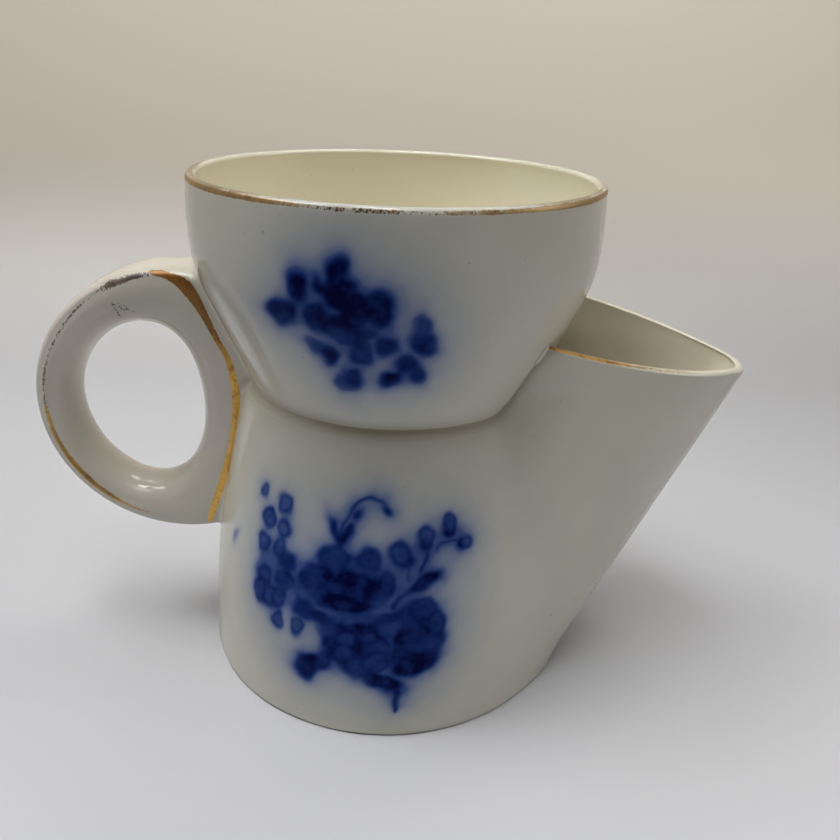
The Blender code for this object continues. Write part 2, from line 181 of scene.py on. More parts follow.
LEG_ROUNDS = 40             # rounds of evening out for the legs, the normals and the crown's share
SIDE_ROUNDS = 6
OUTWARD_ROUNDS = 60
CROWN_ROUNDS = 20
HANDLE_LEG_FLANK = (0.9, 1.0)   # fillet on the handle's side: at the foot, and what it gains to the top
HANDLE_LEG_OVER = (1.0, 3.2)    # and over the ring
WALL_LEG_FLANK = (1.0, 1.2)     # the same on the wall
WALL_LEG_OVER = (1.2, 2.2)
DAB_SIZES = (0.6, 0.9, 2.4)  # half depth, width and length of the dabs at the corners of the mouth
DAB_SIDES = (40, 24)        # facets round and along a dab
DAB_LOWER_TURN = 1.06       # direction of a place lower in the crease, as a multiple of the corner's
DAB_DROP = 1.6              # how far a dab reaches down the crease from the corner

# What a point of a fillet's path carries: three places across it, one hidden behind it, both walls' normals
FILLET_CARRIES = ("start", "bend", "end", "behind", "start_way", "end_way")
FILLET_STEPS = 8

# Where edges are searched for
SEARCH_STEP = 0.02
SEARCH_BELOW = 3.0          # depth under the waist where the search for the wall's end begins
CORNER_TURNS = (25.0, 55.0)     # degrees from the tip between which the corners of the mouth are
HANDLE_REACHES = (10.0, 45.0)   # distances from the finger hole's middle between which the wall is
HANDLE_REACH_STEPS = 1400
NO_STOP = 1e3               # further than any part of the handle
ROOT_SEARCH_STEPS = 3000
HOLE_EDGE_POINTS = 721

# Printed sprays, in millimetres on the unrolled wall from the middle of the spray
CUP_SPRAY_RADIUS = 38.0
CUP_SPRAY_MIDDLE = (-7.2, 88.0)
BODY_SPRAY_RADIUS = 40.0
BODY_SPRAY_MIDDLE = (-5.5, 32.1)
INK_EDGE = 0.55             # softness of a petal's edge
INK_WANDER = 0.20           # how far a petal's edge wanders
PETAL_RIM_START = 0.45      # share of a petal's radius where its dark outline begins
PETAL_RIM_WIDTH = 0.50      # and over which it darkens
HAZE_HIDDEN = 0.75          # share of the haze that full ink hides
FLOW = ((1.2, 0.62, 0.50), (4.6, 0.50, 0.21))   # runs of the blue in the glaze: reach, start, strength
STALK_FLOW = 0.12           # share of that at a stalk
STALK_TONE = 0.80
STALK_EDGE = 0.385          # softness of a stalk's edge
STALK_STEPS = 12
ARCH_TOP = (1.5, 20.5)      # top of the larger spray's arched stalk
BODY_BUDS = [(7.9, 9.7, 2.5, -50), (13.4, 12.9, 2.0, -95), (18.5, 14.9, 1.7, -90), (22.2, 10.7, 1.4, 180)]
PRINT_SKIN = 1.0            # what lies deeper than this under the outside is not printed
SPRAY_REACH = (46.0, 38.0)  # half of the field that a spray and its haze can reach


def leaf(along, up, length, width, tilt, tone):
    """Oval leaf or petal of one tone, by its half length and half width."""
    return [(along, up, length, width, tilt, tone, tone)]


def petal(along, up, length, width, tilt, tone):
    """Oval petal of a light tone with a dark outline."""
    return [(along, up, length, width, tilt, tone, 0.84)]


def calyx_place(along, up, size, calyx):
    """Where the calyx of a bud is, and where its stalk begins."""
    turn = math.radians(calyx)
    return along + size * math.cos(turn), up + size * math.sin(turn)


def bud(along, up, size, calyx):
    """Pale round bud with a dark outline, and a dark calyx in the direction calyx."""
    dark = leaf(*calyx_place(along, up, size, calyx), 0.7 * size, 0.5 * size, calyx + 90, 0.90)
    return dark + petal(along, up, 1.1 * size, size, calyx, 0.50)


def stalk(first, last, bend, widths):
    """Stalk between two places, bent sideways in its middle, with the half widths of its ends."""
    run = np.subtract(last, first)
    side = np.array([-run[1], run[0]]) / np.linalg.norm(run)
    points = []
    for share in np.linspace(0.0, 1.0, STALK_STEPS):
        along, up = first + run * share + 4 * bend * share * (1 - share) * side
        points.append((along, up, widths[0] + (widths[1] - widths[0]) * share))
    return points


def blossom(along, up, reach, count, first, size, tone):
    """Ring of petals round a heart."""
    petals = []
    for k in range(count):
        degrees = first + 360.0 * k / count
        turn = math.radians(degrees)
        petals += petal(along + reach * math.cos(turn), up + reach * math.sin(turn),
                        1.15 * size, size, degrees + 90, tone)
    return petals


def cup_spray():
    """Dark blossom with leaves on the left and loose buds below it."""
    petals = leaf(-7.8, 5.0, 2.9, 1.7, 90, 0.97) + leaf(-11.4, 0.6, 3.0, 1.8, 20, 0.90)
    petals += leaf(-11.0, -1.0, 2.0, 1.4, 45, 0.80)
    petals += leaf(-5.2, 0.4, 2.6, 2.0, 60, 0.86) + leaf(-1.6, -0.9, 3.2, 2.3, 10, 0.90)
    petals += leaf(2.4, -1.9, 2.4, 1.5, 10, 0.74) + leaf(-0.8, -3.2, 2.4, 1.1, -20, 0.62)
    petals += leaf(-1.4, 8.6, 2.3, 1.6, 80, 1.0) + leaf(-4.2, 5.6, 1.8, 1.1, -60, 0.94)
    petals += leaf(-1.2, 4.8, 3.0, 2.4, 60, 1.0) + leaf(1.2, 2.0, 3.2, 2.6, 60, 1.0)
    petals += leaf(4.9, 3.5, 2.5, 2.3, 45, 1.0) + leaf(5.0, 1.2, 2.0, 1.8, -45, 0.98)
    petals += leaf(-6.0, -5.5, 2.1, 1.4, -30, 0.52) + leaf(-3.8, -7.0, 2.0, 1.5, 60, 0.86)
    petals += petal(1.7, -5.8, 2.8, 2.1, 80, 0.80) + petal(6.0, -4.3, 2.0, 1.9, 75, 0.82)
    petals += leaf(11.6, -0.7, 2.6, 1.4, -80, 0.58) + leaf(12.0, -3.9, 2.3, 1.8, -40, 0.88)
    petals += leaf(9.5, -7.8, 2.1, 1.8, -75, 0.88) + leaf(11.5, -10.2, 1.8, 1.5, -65, 0.88)
    petals += leaf(6.8, -11.2, 2.4, 1.7, 20, 0.94)
    petals += leaf(-1.4, -12.2, 2.8, 2.3, 40, 0.56) + leaf(-0.1, -11.4, 1.9, 1.5, 60, 0.88)
    return petals


def body_spray():
    """Full blossom, two more below it, sprigs of small buds on both sides and leaves at the foot."""
    petals = leaf(-20.5, 0.5, 5.0, 4.6, 80, 0.34) + leaf(-10.5, 0.0, 5.0, 3.6, 0, 0.50)
    petals += leaf(-2.0, 3.0, 9.0, 6.0, 0, 0.55) + leaf(1.5, -8.5, 9.5, 6.5, -10, 0.52)
    petals += leaf(11.0, -6.5, 6.5, 6.0, 80, 0.52)
    for along, up, size in ((-25.5, 16.5, 1.1), (-18.5, 15.7, 1.8), (-22.8, 11.6, 2.0), (-18.3, 10.7, 1.8),
                            (-23.5, 6.0, 2.0), (-19.0, 6.6, 1.7)):
        petals += petal(along, up, 1.15 * size, size, 80, 0.52)
    for along, up, tilt, tone in ((-22.4, -0.9, 80, 0.60), (-23.4, -4.5, 85, 0.62), (-20.5, -4.5, 75, 0.58),
                                  (-18.0, -4.0, 60, 0.62), (-16.7, 4.4, 0, 0.80), (-16.7, 0.4, 10, 0.76),
                                  (-12.0, -4.4, 0, 0.74), (-11.3, 3.0, 80, 0.76)):
        petals += petal(along, up, 2.6, 1.9, tilt, tone)
    for along, up in ((-18.1, -9.0), (-13.1, -8.7)):
        petals += petal(along, up, 2.0, 1.3, 80, 0.50)
    petals += leaf(-8.4, -5.2, 3.4, 1.3, -12, 0.82)
    petals += petal(-8.9, 3.6, 2.6, 2.2, 60, 0.72) + petal(-7.6, -0.6, 2.6, 2.2, -30, 0.74)
    petals += petal(1.6, 8.4, 2.6, 2.3, 0, 0.68) + petal(5.4, 3.6, 2.7, 2.0, 80, 0.68)
    petals += petal(-5.6, 7.6, 3.6, 2.9, 0, 0.70)
    petals += leaf(-2.6, 1.4, 6.2, 4.3, 3, 0.84) + leaf(-3.2, 3.9, 4.4, 1.2, 4, 0.98)
    petals += leaf(-2.4, -1.2, 5.2, 1.5, -3, 0.98) + leaf(2.4, 2.4, 2.4, 1.4, 70, 0.96)
    petals += leaf(-6.0, 13.4, 1.9, 0.8, -60, 0.95) + leaf(-3.1, 13.5, 1.9, 0.8, 60, 0.95)
    petals += leaf(-4.5, 11.7, 1.7, 1.1, 90, 0.95)
    petals += leaf(-1.5, 16.9, 1.1, 0.9, 15, 0.86) + leaf(5.2, 18.2, 1.0, 0.7, -50, 0.86)
    for place in BODY_BUDS:
        petals += bud(*place)
    petals += leaf(12.6, 3.6, 3.4, 1.3, 25, 0.95) + leaf(14.8, 4.7, 1.4, 1.2, 0, 0.95)
    petals += petal(12.2, -10.6, 5.6, 4.6, 70, 0.78) + leaf(10.9, -14.2, 4.4, 2.7, 12, 0.96)
    petals += petal(12.8, -1.8, 2.9, 2.6, 0, 0.62) + petal(15.3, -5.2, 2.7, 2.0, 80, 0.64)
    petals += leaf(10.8, -5.2, 2.2, 1.8, 0, 0.86) + leaf(6.2, -3.4, 3.4, 1.2, 25, 0.78)
    petals += blossom(0.4, -11.2, 3.8, 6, 20, 2.5, 0.62) + leaf(0.2, -10.6, 1.9, 1.7, 60, 0.90)
    petals += leaf(-0.8, -6.4, 4.6, 1.3, 8, 0.90) + leaf(7.8, -9.6, 4.4, 0.9, 80, 0.90)
    petals += leaf(-5.8, -10.7, 2.3, 1.3, 80, 0.76)
    petals += leaf(-9.2, -15.8, 4.0, 2.0, 20, 0.90) + leaf(-10.8, -17.8, 2.9, 2.3, 70, 0.90)
    petals += leaf(-6.6, -13.8, 2.2, 1.4, 40, 0.84)
    petals += leaf(4.2, -18.0, 4.0, 1.8, -18, 0.92) + leaf(6.9, -19.0, 1.9, 1.4, -30, 0.93)
    petals += leaf(-34.6, 2.5, 1.5, 0.6, 60, 0.35)
    return petals


def body_stalks():
    """Stalks of the larger spray, between its leaves and buds."""
    first_bud, second_bud, _, last_bud = BODY_BUDS
    return [
        stalk((-4.5, 13.5), ARCH_TOP, 1.4, (0.30, 0.22)),
        stalk(ARCH_TOP, (5.0, 18.5), 0.6, (0.22, 0.28)),
        stalk(calyx_place(*first_bud), (9.5, 4.5), 0.0, (0.24, 0.20)),
        stalk(calyx_place(*second_bud), (12.0, 5.0), 0.5, (0.60, 0.24)),
        stalk(calyx_place(*last_bud), (15.5, 10.0), -1.2, (0.24, 0.20)),
        stalk((7.5, -19.5), (7.5, -25.5), 0.3, (0.80, 0.40)),
        stalk((10.5, 2.5), (6.5, -1.0), 0.0, (0.33, 0.50)),
    ]


# Gilding of the lip: (distance from the cup axis towards the tip, share of the gold that is left)
LIP_FRONT_GILT = [
    (26.0, 0.95), (33.0, 1.0), (41.0, 0.92), (46.0, 0.53), (58.0, 0.49), (62.0, 0.36), (80.0, 0.28),
]
LIP_BACK_GILT = [(26.0, 0.62), (48.0, 0.48), (58.0, 0.40), (68.0, 0.42), (80.0, 0.30)]
LIP_GILT_BAND = (1.2, 1.0)  # middle of the band, inward from the outside, and its half width
LIP_GILT_DEPTH = 0.85       # how far down the lip it reaches
LIP_GILT_FIELD = 1.6        # field in which it is painted: depth under the mouth's plane,
LIP_GILT_INSIDE = 0.6       # depth behind the lip's inner side,
LIP_GILT_TURN = 46.0        # degrees to each side of the tip
LIP_GILT_TOP = TIP_HEIGHT + 12.0   # and the level up to which the spout's outside is followed
LIP_DULLED = 0.12
LIP_BROWNED = 0.35

# Gilding of the rim: (degrees round the cup, share) of the gold that is kept, of soot, and of gold on its top
RIM_KEPT = [
    (-180, 0.80), (-150, 0.82), (-128, 0.72), (-112, 0.52), (-84, 0.48), (-66, 0.60), (-45, 0.74),
    (-10, 0.70), (45, 0.60), (90, 0.50), (140, 0.55), (180, 0.80),
]
RIM_RUBBED = [
    (-180, 0.20), (-140, 0.34), (-118, 0.66), (-95, 0.66), (-72, 0.62), (-50, 0.45), (0, 0.30), (60, 0.50),
    (180, 0.20),
]
RIM_TOPPED = [
    (-180, 0.75), (-140, 0.84), (-115, 0.80), (-90, 0.66), (-60, 0.80), (-30, 0.80), (0, 0.65), (30, 0.50),
    (150, 0.50), (180, 0.75),
]
RIM_FIELD = (2.0, 0.3)          # painted this far down from the top, and this far behind the inner side
RIM_OUTER_DROP = 1.25           # how far the outer band reaches down
RIM_OUTER_END = 52.0            # and up over the rim, in degrees from its outside
RIM_INNER_LINE = (138.0, 13.0)  # middle and half width of the line inside, in these degrees
RIM_INNER_SHARE = 0.70          # its strength
RIM_CREST = (90.0, 40.0)        # middle and half width of the gold on top
RIM_BROWNED = 0.35
RIM_DULLED = 0.55
RIM_DULLED_CREST = 0.35         # what the top adds to that

# Gilding on the flat sides of the handle, with the half width and the strength of the paint at each stop
GILT_EDGE = 0.32            # softness of a gilt line's edge
SIDE_PAINT_START = 2.6      # paint begins this far in from the flat side
SIDE_PAINT_FADE = 1.2       # and is full this much nearer to it
UPPER_LINE_GOLD = 0.45      # share of the upper line that is still gold
LOWER_LINE_LEAST = 0.02     # strength from which the lower line counts
LOWER_LINE_DULLED = 0.40
SADDLE_BROWNED = 0.90
SADDLE_GOLD_TOP = 64.0      # bright gold up to here
SADDLE_BROWN = 76.0         # and rubbed brown above here
SADDLE_BESIDE_WALL = [      # height, gap to the wall, half width, strength
    (29.5, 2.6, 0.7, 0.90), (41.5, 0.7, 0.85, 0.95), (49.5, 0.0, 0.9, 1.0), (59.0, 0.7, 0.9, 1.0),
    (68.0, 3.25, 0.65, 0.95), (73.0, 3.25, 0.65, 0.9), (79.5, 3.25, 0.95, 0.95),
]
SADDLE_ON_RING = [          # degrees round the ring, inset from its edge, half width, strength
    (81.0, 3.2, 1.35, 0.95), (87.5, 1.6, 0.9, 0.85), (95.0, 0.7, 0.6, 0.65),
]
RING_LINE_STEP = 3.0        # degrees between the points of a line round the ring
RING_LINE_TURNS = (93.0, 140.0, 255.0)   # degrees round the ring
RING_LINE_INSETS = (0.9, 2.5, 2.9)       # and how far inside its edge the lines are there
RING_UPPER_LINE = [         # degrees, half width, strength
    (93.0, 0.4, 0.70), (104.0, 0.8, 0.95), (110.0, 0.85, 1.0), (119.0, 0.55, 0.76), (135.0, 0.5, 0.82),
    (149.0, 0.5, 0.76), (163.0, 0.5, 0.86), (182.0, 0.45, 0.76),
]
RING_LOWER_LINE = [(180.0, 0.4, 0.72), (204.0, 0.6, 0.80), (218.0, 0.7, 0.82), (254.0, 0.4, 0.55)]
SMUDGES = [                 # strokes between two places on the ring, as for the saddle
    [(115.0, 4.5, 0.45, 0.88), (116.0, 8.0, 0.50, 0.80)],
    [(113.0, 5.7, 1.00, 0.66), (107.5, 8.0, 0.90, 0.62)],
    [(115.5, 1.2, 0.80, 0.72), (109.5, 1.0, 0.70, 0.78)],
]

# Colours, as shares of light given back
WARE_WHITE = (0.66, 0.64, 0.527)
WARE_SHADE = (0.62, 0.60, 0.497)
HANDLE_WHITE = (0.71, 0.65, 0.575)
CUP_CREAM = (0.835, 0.795, 0.645)
CUP_CREAM_DEEP = (0.815, 0.77, 0.61)
SPOUT_CREAM = (0.72, 0.67, 0.53)
SPOUT_CREAM_DEEP = (0.72, 0.665, 0.515)
# brown of the crease under the cup: painted shade with some dirt
CREASE_SHADE_DIRT_BROWN = (0.36, 0.32, 0.23)
GOLD = (0.85, 0.50, 0.11)
GOLD_BROWN = (0.25, 0.10, 0.018)
GOLD_DULL = (0.36, 0.29, 0.19)
SOOT = (0.03, 0.028, 0.026)
SOOT_BROWN = (0.20, 0.14, 0.09)
SPECK_BROWN = (0.30, 0.27, 0.22)

# Paper sweep, in metres, and its colours
SWEEP_FLOOR = (-1.4, 1.4, -1.0, 0.40)   # left, right, front and back of the flat paper
SWEEP_RADIUS = 1.5              # of its rise
SWEEP_TOP = 2.4
SWEEP_BORDER = 0.05             # flat paper beyond the corners, before the rise
SWEEP_CORNER = 0.02             # radius of the flat paper's corners
SWEEP_ROWS = 28
SWEEP_CORNER_STEPS = 10
FLOOR_SHADE = (0.30, 0.295, 0.29)
PAPER_FLECK = (0.6, 0.6, 0.6)
SHADE_ASIDE = (1.2, 2.4)        # where the shade begins and ends, to the sides
SHADE_IN_FRONT = (0.5, 1.7)     # and towards the front
FLOOR_DEPTHS = (-0.06, 0.75)    # where the paper's tones begin and end
# paper's tones by depth: a painted shadow band behind the ware and painted warm light towards the back
FLOOR_PAINTED_LIGHT_TONES = [
    (0.0, (0.575, 0.58, 0.61)),
    (0.12, (0.53, 0.535, 0.56)),
    (0.27, (0.465, 0.468, 0.485)),
    (0.45, (0.56, 0.55, 0.545)),
    (1.0, (0.66, 0.61, 0.53)),
]

# Grain of the finishes, in waves to the metre
CLOUD_GRAIN = 38.0
SPECK_GRAIN = 900.0
MOTTLE_GRAIN = 620.0
POOL_GRAIN = 300.0
RIPPLE_GRAIN = 95.0
PIT_GRAIN = 640.0
WEAR_GRAIN = 1300.0
SCRAPE_GRAIN = 240.0
TONE_GRAIN = 260.0
SOOT_GRAIN = 2600.0
PAPER_GRAIN = 14.0
RIPPLE_DEPTH = 0.0006       # depth of the ripples in the glaze, in metres

# Shares and ranges of the patterns in the finishes
CLOUD_RANGE = (0.30, 0.70)      # clouds, from the first tone of the white to the second
LINING_RANGE = (0.35, 0.70)     # the crease's painted shade and dirt, from none to full, where the glaze is dulled
SPECK_RANGE = (0.77, 0.82)      # specks, from none to full
SPECK_SHARE = 0.35
DUST_AND_SHADE_RANGE = (0.02, 0.30)       # grime, from clean to dusty
MOTTLE_SHARE = 0.22
POOL_SHARE = 0.60
INK_EVEN = 0.42                 # what mottles and pools come to in the middle
INK_RANGE = (0.1, 0.7)          # ink, from shining to dull
GLAZE_SHINE = 0.5
DUST_AND_SHADE_DULLS = 0.48               # what dust takes off that
INK_DULLS = 0.47                # what the crease's dirt and painted shade take off that
GLAZE_IOR = 1.5
CLOUD_ROUGHENS = 0.06           # how far the roughness varies with the clouds
DUST_AND_SHADE_ROUGHENS = 0.40
PIT_SHARE = 0.06                # of the pits in the ripples
WEAR_MIX = (0.60, 0.40)         # of wear and scrapes in the gold
WEAR_DEPTH = 0.95
GILT_RANGE = (-0.06, 0.10)      # gold that is left, from none to full
TONE_MIX = (0.6, 0.4)           # of tone and wear in the gold's brightness
BRIGHT_RANGE = (0.26, 0.54)     # from brown to bright gold
GOLD_METAL = 0.60
BROWN_METAL_LOSS = 0.4
GOLD_ROUGHNESS = 0.24
WEAR_ROUGHENS = 0.25
SOOT_MIX = (0.65, 0.35)         # of fine grain and scrapes in the soot
SOOT_DEPTH = 1.45
SOOT_EDGE_RANGE = (-0.08, 0.08)  # soot, from none to full
SOOT_SHARE = 0.92
SOOT_TONE_RANGE = (0.42, 0.60)  # from black to brown
SOOT_ROUGHNESS = 0.45
FLECK_SHARE = 0.05
PAPER_ROUGHNESS = 0.55

LAMP_WHITE = (1.0, 0.99, 0.97)

# Camera: place in metres, turns in degrees
CAMERA_PLACE = (-0.0004, -0.1592, 0.12684)
CAMERA_TURN = (65.045, -2.216, -1.234)
CAMERA_LENS = 33.3
CAMERA_SENSOR = 36.0
CAMERA_CLIP = 0.01


# Profiles of the ware

def soft_ramp(distance, softness):
    """Zero below a distance of 0 and the distance above it, with a soft bend between."""
    return softness * np.logaddexp(0.0, distance / softness)


def cup_radius(z):
    """Outside of the soap cup."""
    depth = np.maximum(HEIGHT - np.asarray(z, float), 0.0)
    swell = CUP_BELLY * np.sin(np.pi * np.minimum(depth / KNUCKLE_DEPTH, 1.0))
    return RIM_RADIUS + swell - CONE_TAPER * soft_ramp(depth - KNUCKLE_DEPTH, KNUCKLE_SOFTNESS)


WAIST_RADIUS = float(cup_radius(WAIST_HEIGHT)) + WAIST_LEDGE
SHOULDER_TAPER = (BASE_RADIUS - FOOT_WALL_TAPER * WAIST_HEIGHT - WAIST_RADIUS) / float(
    soft_ramp(WAIST_HEIGHT - KNEE_HEIGHT, KNEE_SOFTNESS))


def body_radius(z):
    """Outside of the reservoir without its groove."""
    z = np.asarray(z, float)
    return BASE_RADIUS - FOOT_WALL_TAPER * z - SHOULDER_TAPER * soft_ramp(z - KNEE_HEIGHT, KNEE_SOFTNESS)


def shoulder_radius(z):
    """Outside of the reservoir, turned in to the groove under the cup."""
    return body_radius(z) - GROOVE_SLOPE * soft_ramp(np.asarray(z, float) - SHOULDER_TOP, SHOULDER_TURN)


def vessel_radius(z):
    """Outside of the reservoir or of the cup, whichever stands out further."""
    return np.maximum(shoulder_radius(z), cup_radius(z))


def spout_radius(turn, z, grow):
    """Cup axis to the teardrop of the spout, in the direction turn at the level z; 0 behind the axis."""
    share = np.minimum(z / TIP_HEIGHT, 1.0)
    nose = NOSE_FOOT_RADIUS + (NOSE_TIP_RADIUS - NOSE_FOOT_RADIUS) * share
    half_width = FOOT_HALF_WIDTH + (MOUTH_HALF_WIDTH - FOOT_HALF_WIDTH) * share
    flank_x = FOOT_WIDEST + (MOUTH_WIDEST - FOOT_WIDEST) * share
    nose_x = SPOUT_FOOT_REACH + SPOUT_LEAN * z - nose
    flank = ((nose_x - flank_x) ** 2 + half_width ** 2 - nose ** 2) / (2 * (half_width - nose))
    flank_y = half_width - flank
    along = np.cos(turn)
    across = np.abs(np.sin(turn))
    nose = nose + grow
    flank = flank + grow
    nose_hit = nose_x * along + np.sqrt(np.maximum(nose ** 2 - (nose_x * across) ** 2, 0.0))
    toward = flank_x * along + flank_y * across
    spread = flank ** 2 - flank_x ** 2 - flank_y ** 2
    flank_hit = toward + np.sqrt(np.maximum(spread + toward ** 2, 0.0))
    length = np.hypot(nose_x - flank_x, flank_y)
    join_x = nose_x + nose * (nose_x - flank_x) / length
    join_y = -nose * flank_y / length
    on_nose = np.arctan2(across, along) <= np.arctan2(join_y, join_x)
    hit = np.where(on_nose, nose_hit, flank_hit)
    return np.where(along > SPOUT_BEHIND, hit, 0.0)


def flow_together(first, second, reach):
    """The larger of two radii, with a soft hollow where they are nearly equal."""
    near = np.maximum(reach - np.abs(first - second), 0.0) / reach
    return np.maximum(first, second) + near * near * reach / 4


def outer_radius(turn, z):
    """Outside of the reservoir and the spout, flowing together."""
    return flow_together(shoulder_radius(z), spout_radius(turn, z, 0.0), SPOUT_BLEND)


def inner_radius(turn, z):
    """Inside of the chamber and of the spout, kept within the cup's wall where they meet the cup."""
    outside = spout_radius(turn, z, 0.0)
    depth = mouth_height(outside * np.cos(turn), outside * np.sin(turn)) - z
    share = np.clip(depth / LIP_FEATHER, 0.0, 1.0)
    wall = LIP_WALL + (WALL - LIP_WALL) * share * share * (3 - 2 * share)
    hollow = np.where(z > SPOUT_SILL, spout_radius(turn, z, -wall), 0.0)
    hidden = np.where(z > CUP_FOOT_HEIGHT, cup_radius(z) - CUP_WALL / 2, 0.0)
    return np.maximum(np.maximum(body_radius(z) - WALL, hollow), hidden)


def mouth_height(x, y):
    """Height of the leaning plane that cuts off the spout."""
    return TIP_HEIGHT + MOUTH_FALL * (SPOUT_REACH - x) + MOUTH_LEAN * y


def wall_top(turns):
    """Height where the lower ware ends in each direction, and whether it ends in a free lip there."""
    levels = np.arange(WAIST_HEIGHT - SEARCH_BELOW, HEIGHT - KNUCKLE_DEPTH, SEARCH_STEP)
    turn, z = np.meshgrid(turns, levels, indexing="ij")
    radius = outer_radius(turn, z)
    in_cup = radius <= cup_radius(z)
    over_mouth = z >= mouth_height(radius * np.cos(turn), radius * np.sin(turn))
    first = np.argmax(in_cup | over_mouth, axis=1)
    rows = np.arange(len(turns))
    return levels[first], over_mouth[rows, first] & ~in_cup[rows, first]


def lip_corners():
    """Directions of the two ends of the lip, front and back."""
    ends = []
    for side in (-1, 1):
        turns = side * np.radians(np.arange(*CORNER_TURNS, SEARCH_STEP))
        free = wall_top(turns)[1]
        ends.append(float(turns[np.nonzero(free)[0][-1]]))
    return ends


# Meshes

def grid_faces(rows, columns):
    """Four sided faces of a grid whose rows run once round."""
    here = np.arange(rows * columns).reshape(rows, columns)
    beside = np.roll(here, -1, axis=1)
    quads = np.stack([here[:-1], beside[:-1], beside[1:], here[1:]], axis=-1)
    return quads.reshape(-1, 4).tolist()


def closed_grid(points):
    """Vertices and faces of a grid that is closed by a middle point at its first and last rows."""
    rows, columns = points.shape[:2]
    verts = points.reshape(-1, 3)
    low_middle = [0.0, 0.0, float(points[0, :, 2].mean())]
    high_middle = [0.0, 0.0, float(points[-1, :, 2].mean())]
    verts = np.vstack([verts, [low_middle], [high_middle]])
    faces = grid_faces(rows, columns)
    last = (rows - 1) * columns
    for column in range(columns):
        beside = (column + 1) % columns
        faces.append([rows * columns, beside, column])
        faces.append([rows * columns + 1, last + column, last + beside])
    return verts, faces


def vertex_normals(verts, faces):
    """Mean direction of the faces round each vertex."""
    normals = np.zeros_like(verts)
    for count in (3, 4):
        chosen = np.array([f for f in faces if len(f) == count], int)
        if not len(chosen):
            continue
        corner = verts[chosen]
        across = np.cross(corner[:, 2] - corner[:, 0], corner[:, -1] - corner[:, 1])
        for k in range(count):
            np.add.at(normals, chosen[:, k], across)
    return normals / np.maximum(np.linalg.norm(normals, axis=1, keepdims=True), 1e-12)


def new_mesh(name, verts, faces, normals=None):
    """Smooth mesh from places in millimetres, with its own normals where they are given."""
    mesh = bpy.data.meshes.new(name)
    place = (np.asarray(verts, float) + (AXIS_SHIFT, 0.0, 0.0)) * MM
    mesh.from_pydata(place.tolist(), [], faces)
    mesh.update()
    mesh.polygons.foreach_set("use_smooth", [True] * len(mesh.polygons))
    if normals is not None:
        mesh.normals_split_custom_set_from_vertices(np.asarray(normals).tolist())
    return mesh


def mesh_places(mesh):
    """Vertices of a mesh in millimetres from the cup axis."""
    flat = np.zeros(len(mesh.vertices) * 3, np.float32)
    mesh.vertices.foreach_get("co", flat)
    return flat.reshape(-1, 3).astype(float) / MM - (AXIS_SHIFT, 0.0, 0.0)


def set_values(mesh, name, values):
    """Stores one value for each vertex under a name."""
    layer = mesh.attributes.new(name, "FLOAT", "POINT")
    layer.data.foreach_set("value", np.asarray(values, np.float32))


def add_piece(name, mesh, material, slot, *nodes):
    """Object that stands in for pieces of the frame, in one material."""
    obj = bpy.data.objects.new(name, mesh)
    bpy.context.scene.collection.objects.link(obj)
    mesh.materials.clear()
    mesh.materials.append(material)
    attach(obj, "root")
    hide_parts(*nodes)
    return obj


def part_of_mesh(verts, faces, chosen):
    """The chosen faces with only the vertices that they use, and the old numbers of those vertices."""
    faces = [f for f, keep in zip(faces, chosen) if keep]
    used = np.unique(np.concatenate([np.asarray(f) for f in faces]))
    new_number = np.full(len(verts), -1)
    new_number[used] = np.arange(len(used))
    return verts[used], [[int(new_number[v]) for v in f] for f in faces], used


def joint_faces(places, faces, inner):
    """Faces that close the open edge of a piece, from its outer skin to its inner skin."""
    edges = {(a, b) for face in faces for a, b in zip(face, face[1:] + face[:1])}
    after = {a: b for a, b in edges if (b, a) not in edges}
    start = next(b for a, b in after.items() if inner[a] and not inner[b])
    loop = [start]
    while after[loop[-1]] != start:
        loop.append(after[loop[-1]])
    first = [v for v in loop if not inner[v]]
    second = [v for v in loop[::-1] if inner[v]]
    first_share, second_share = [run_shares(places[line]) for line in (first, second)]
    joint = []
    i = j = 0
    while i + 1 < len(first) or j + 1 < len(second):
        if j + 1 == len(second) or (i + 1 < len(first) and first_share[i + 1] <= second_share[j + 1]):
            joint.append([first[i + 1], first[i], second[j]])
            i += 1
        else:
            joint.append([second[j], second[j + 1], first[i]])
            j += 1
    return joint


def run_shares(line):
    """Share of a line's length that lies before each of its points."""
    run = np.concatenate([[0.0], np.cumsum(np.linalg.norm(np.diff(line, axis=0), axis=1))])
    return run / run[-1]


# Paint that is carried by the vertices

def wander(first, second):
    """Uneven drift of the ink, smooth and the same every time."""
    return np.sin(0.9 * first + 0.5 * second) + 0.7 * np.sin(1.6 * second - 0.8 * first + 1.0)


def curved(line, steps=5):
    """Points of a painted line with its corners drawn out into one smooth curve."""
    given = np.array(line)
    ends = np.vstack([2 * given[0] - given[1], given, 2 * given[-1] - given[-2]])
    points = []
    for before, first, second, after in zip(ends, ends[1:], ends[2:], ends[3:]):
        for t in np.arange(steps) / steps:
            bend = 2 * before - 5 * first + 4 * second - after
            twist = 3 * first - before - 3 * second + after
            points.append(first + 0.5 * (t * (second - before) + t ** 2 * bend + t ** 3 * twist))
    return [*points, given[-1]]


def soft_edge(outside, softness):
    """Share of paint, 0.5 on an edge and fading to 0 outside it."""
    return 1.0 / (1.0 + np.exp(np.clip(2 * outside / softness, -40, 40)))


def off_stroke(first, second, start, end):
    """How far places are outside a straight stroke with changing half width, and their share along it."""
    run_first, run_second = end[0] - start[0], end[1] - start[1]
    off_first, off_second = first - start[0], second - start[1]
    ahead = off_first * run_first + off_second * run_second
    share = np.clip(ahead / (run_first * run_first + run_second * run_second), 0.0, 1.0)
    half_width = start[2] + (end[2] - start[2]) * share
    return np.hypot(off_first - share * run_first, off_second - share * run_second) - half_width, share


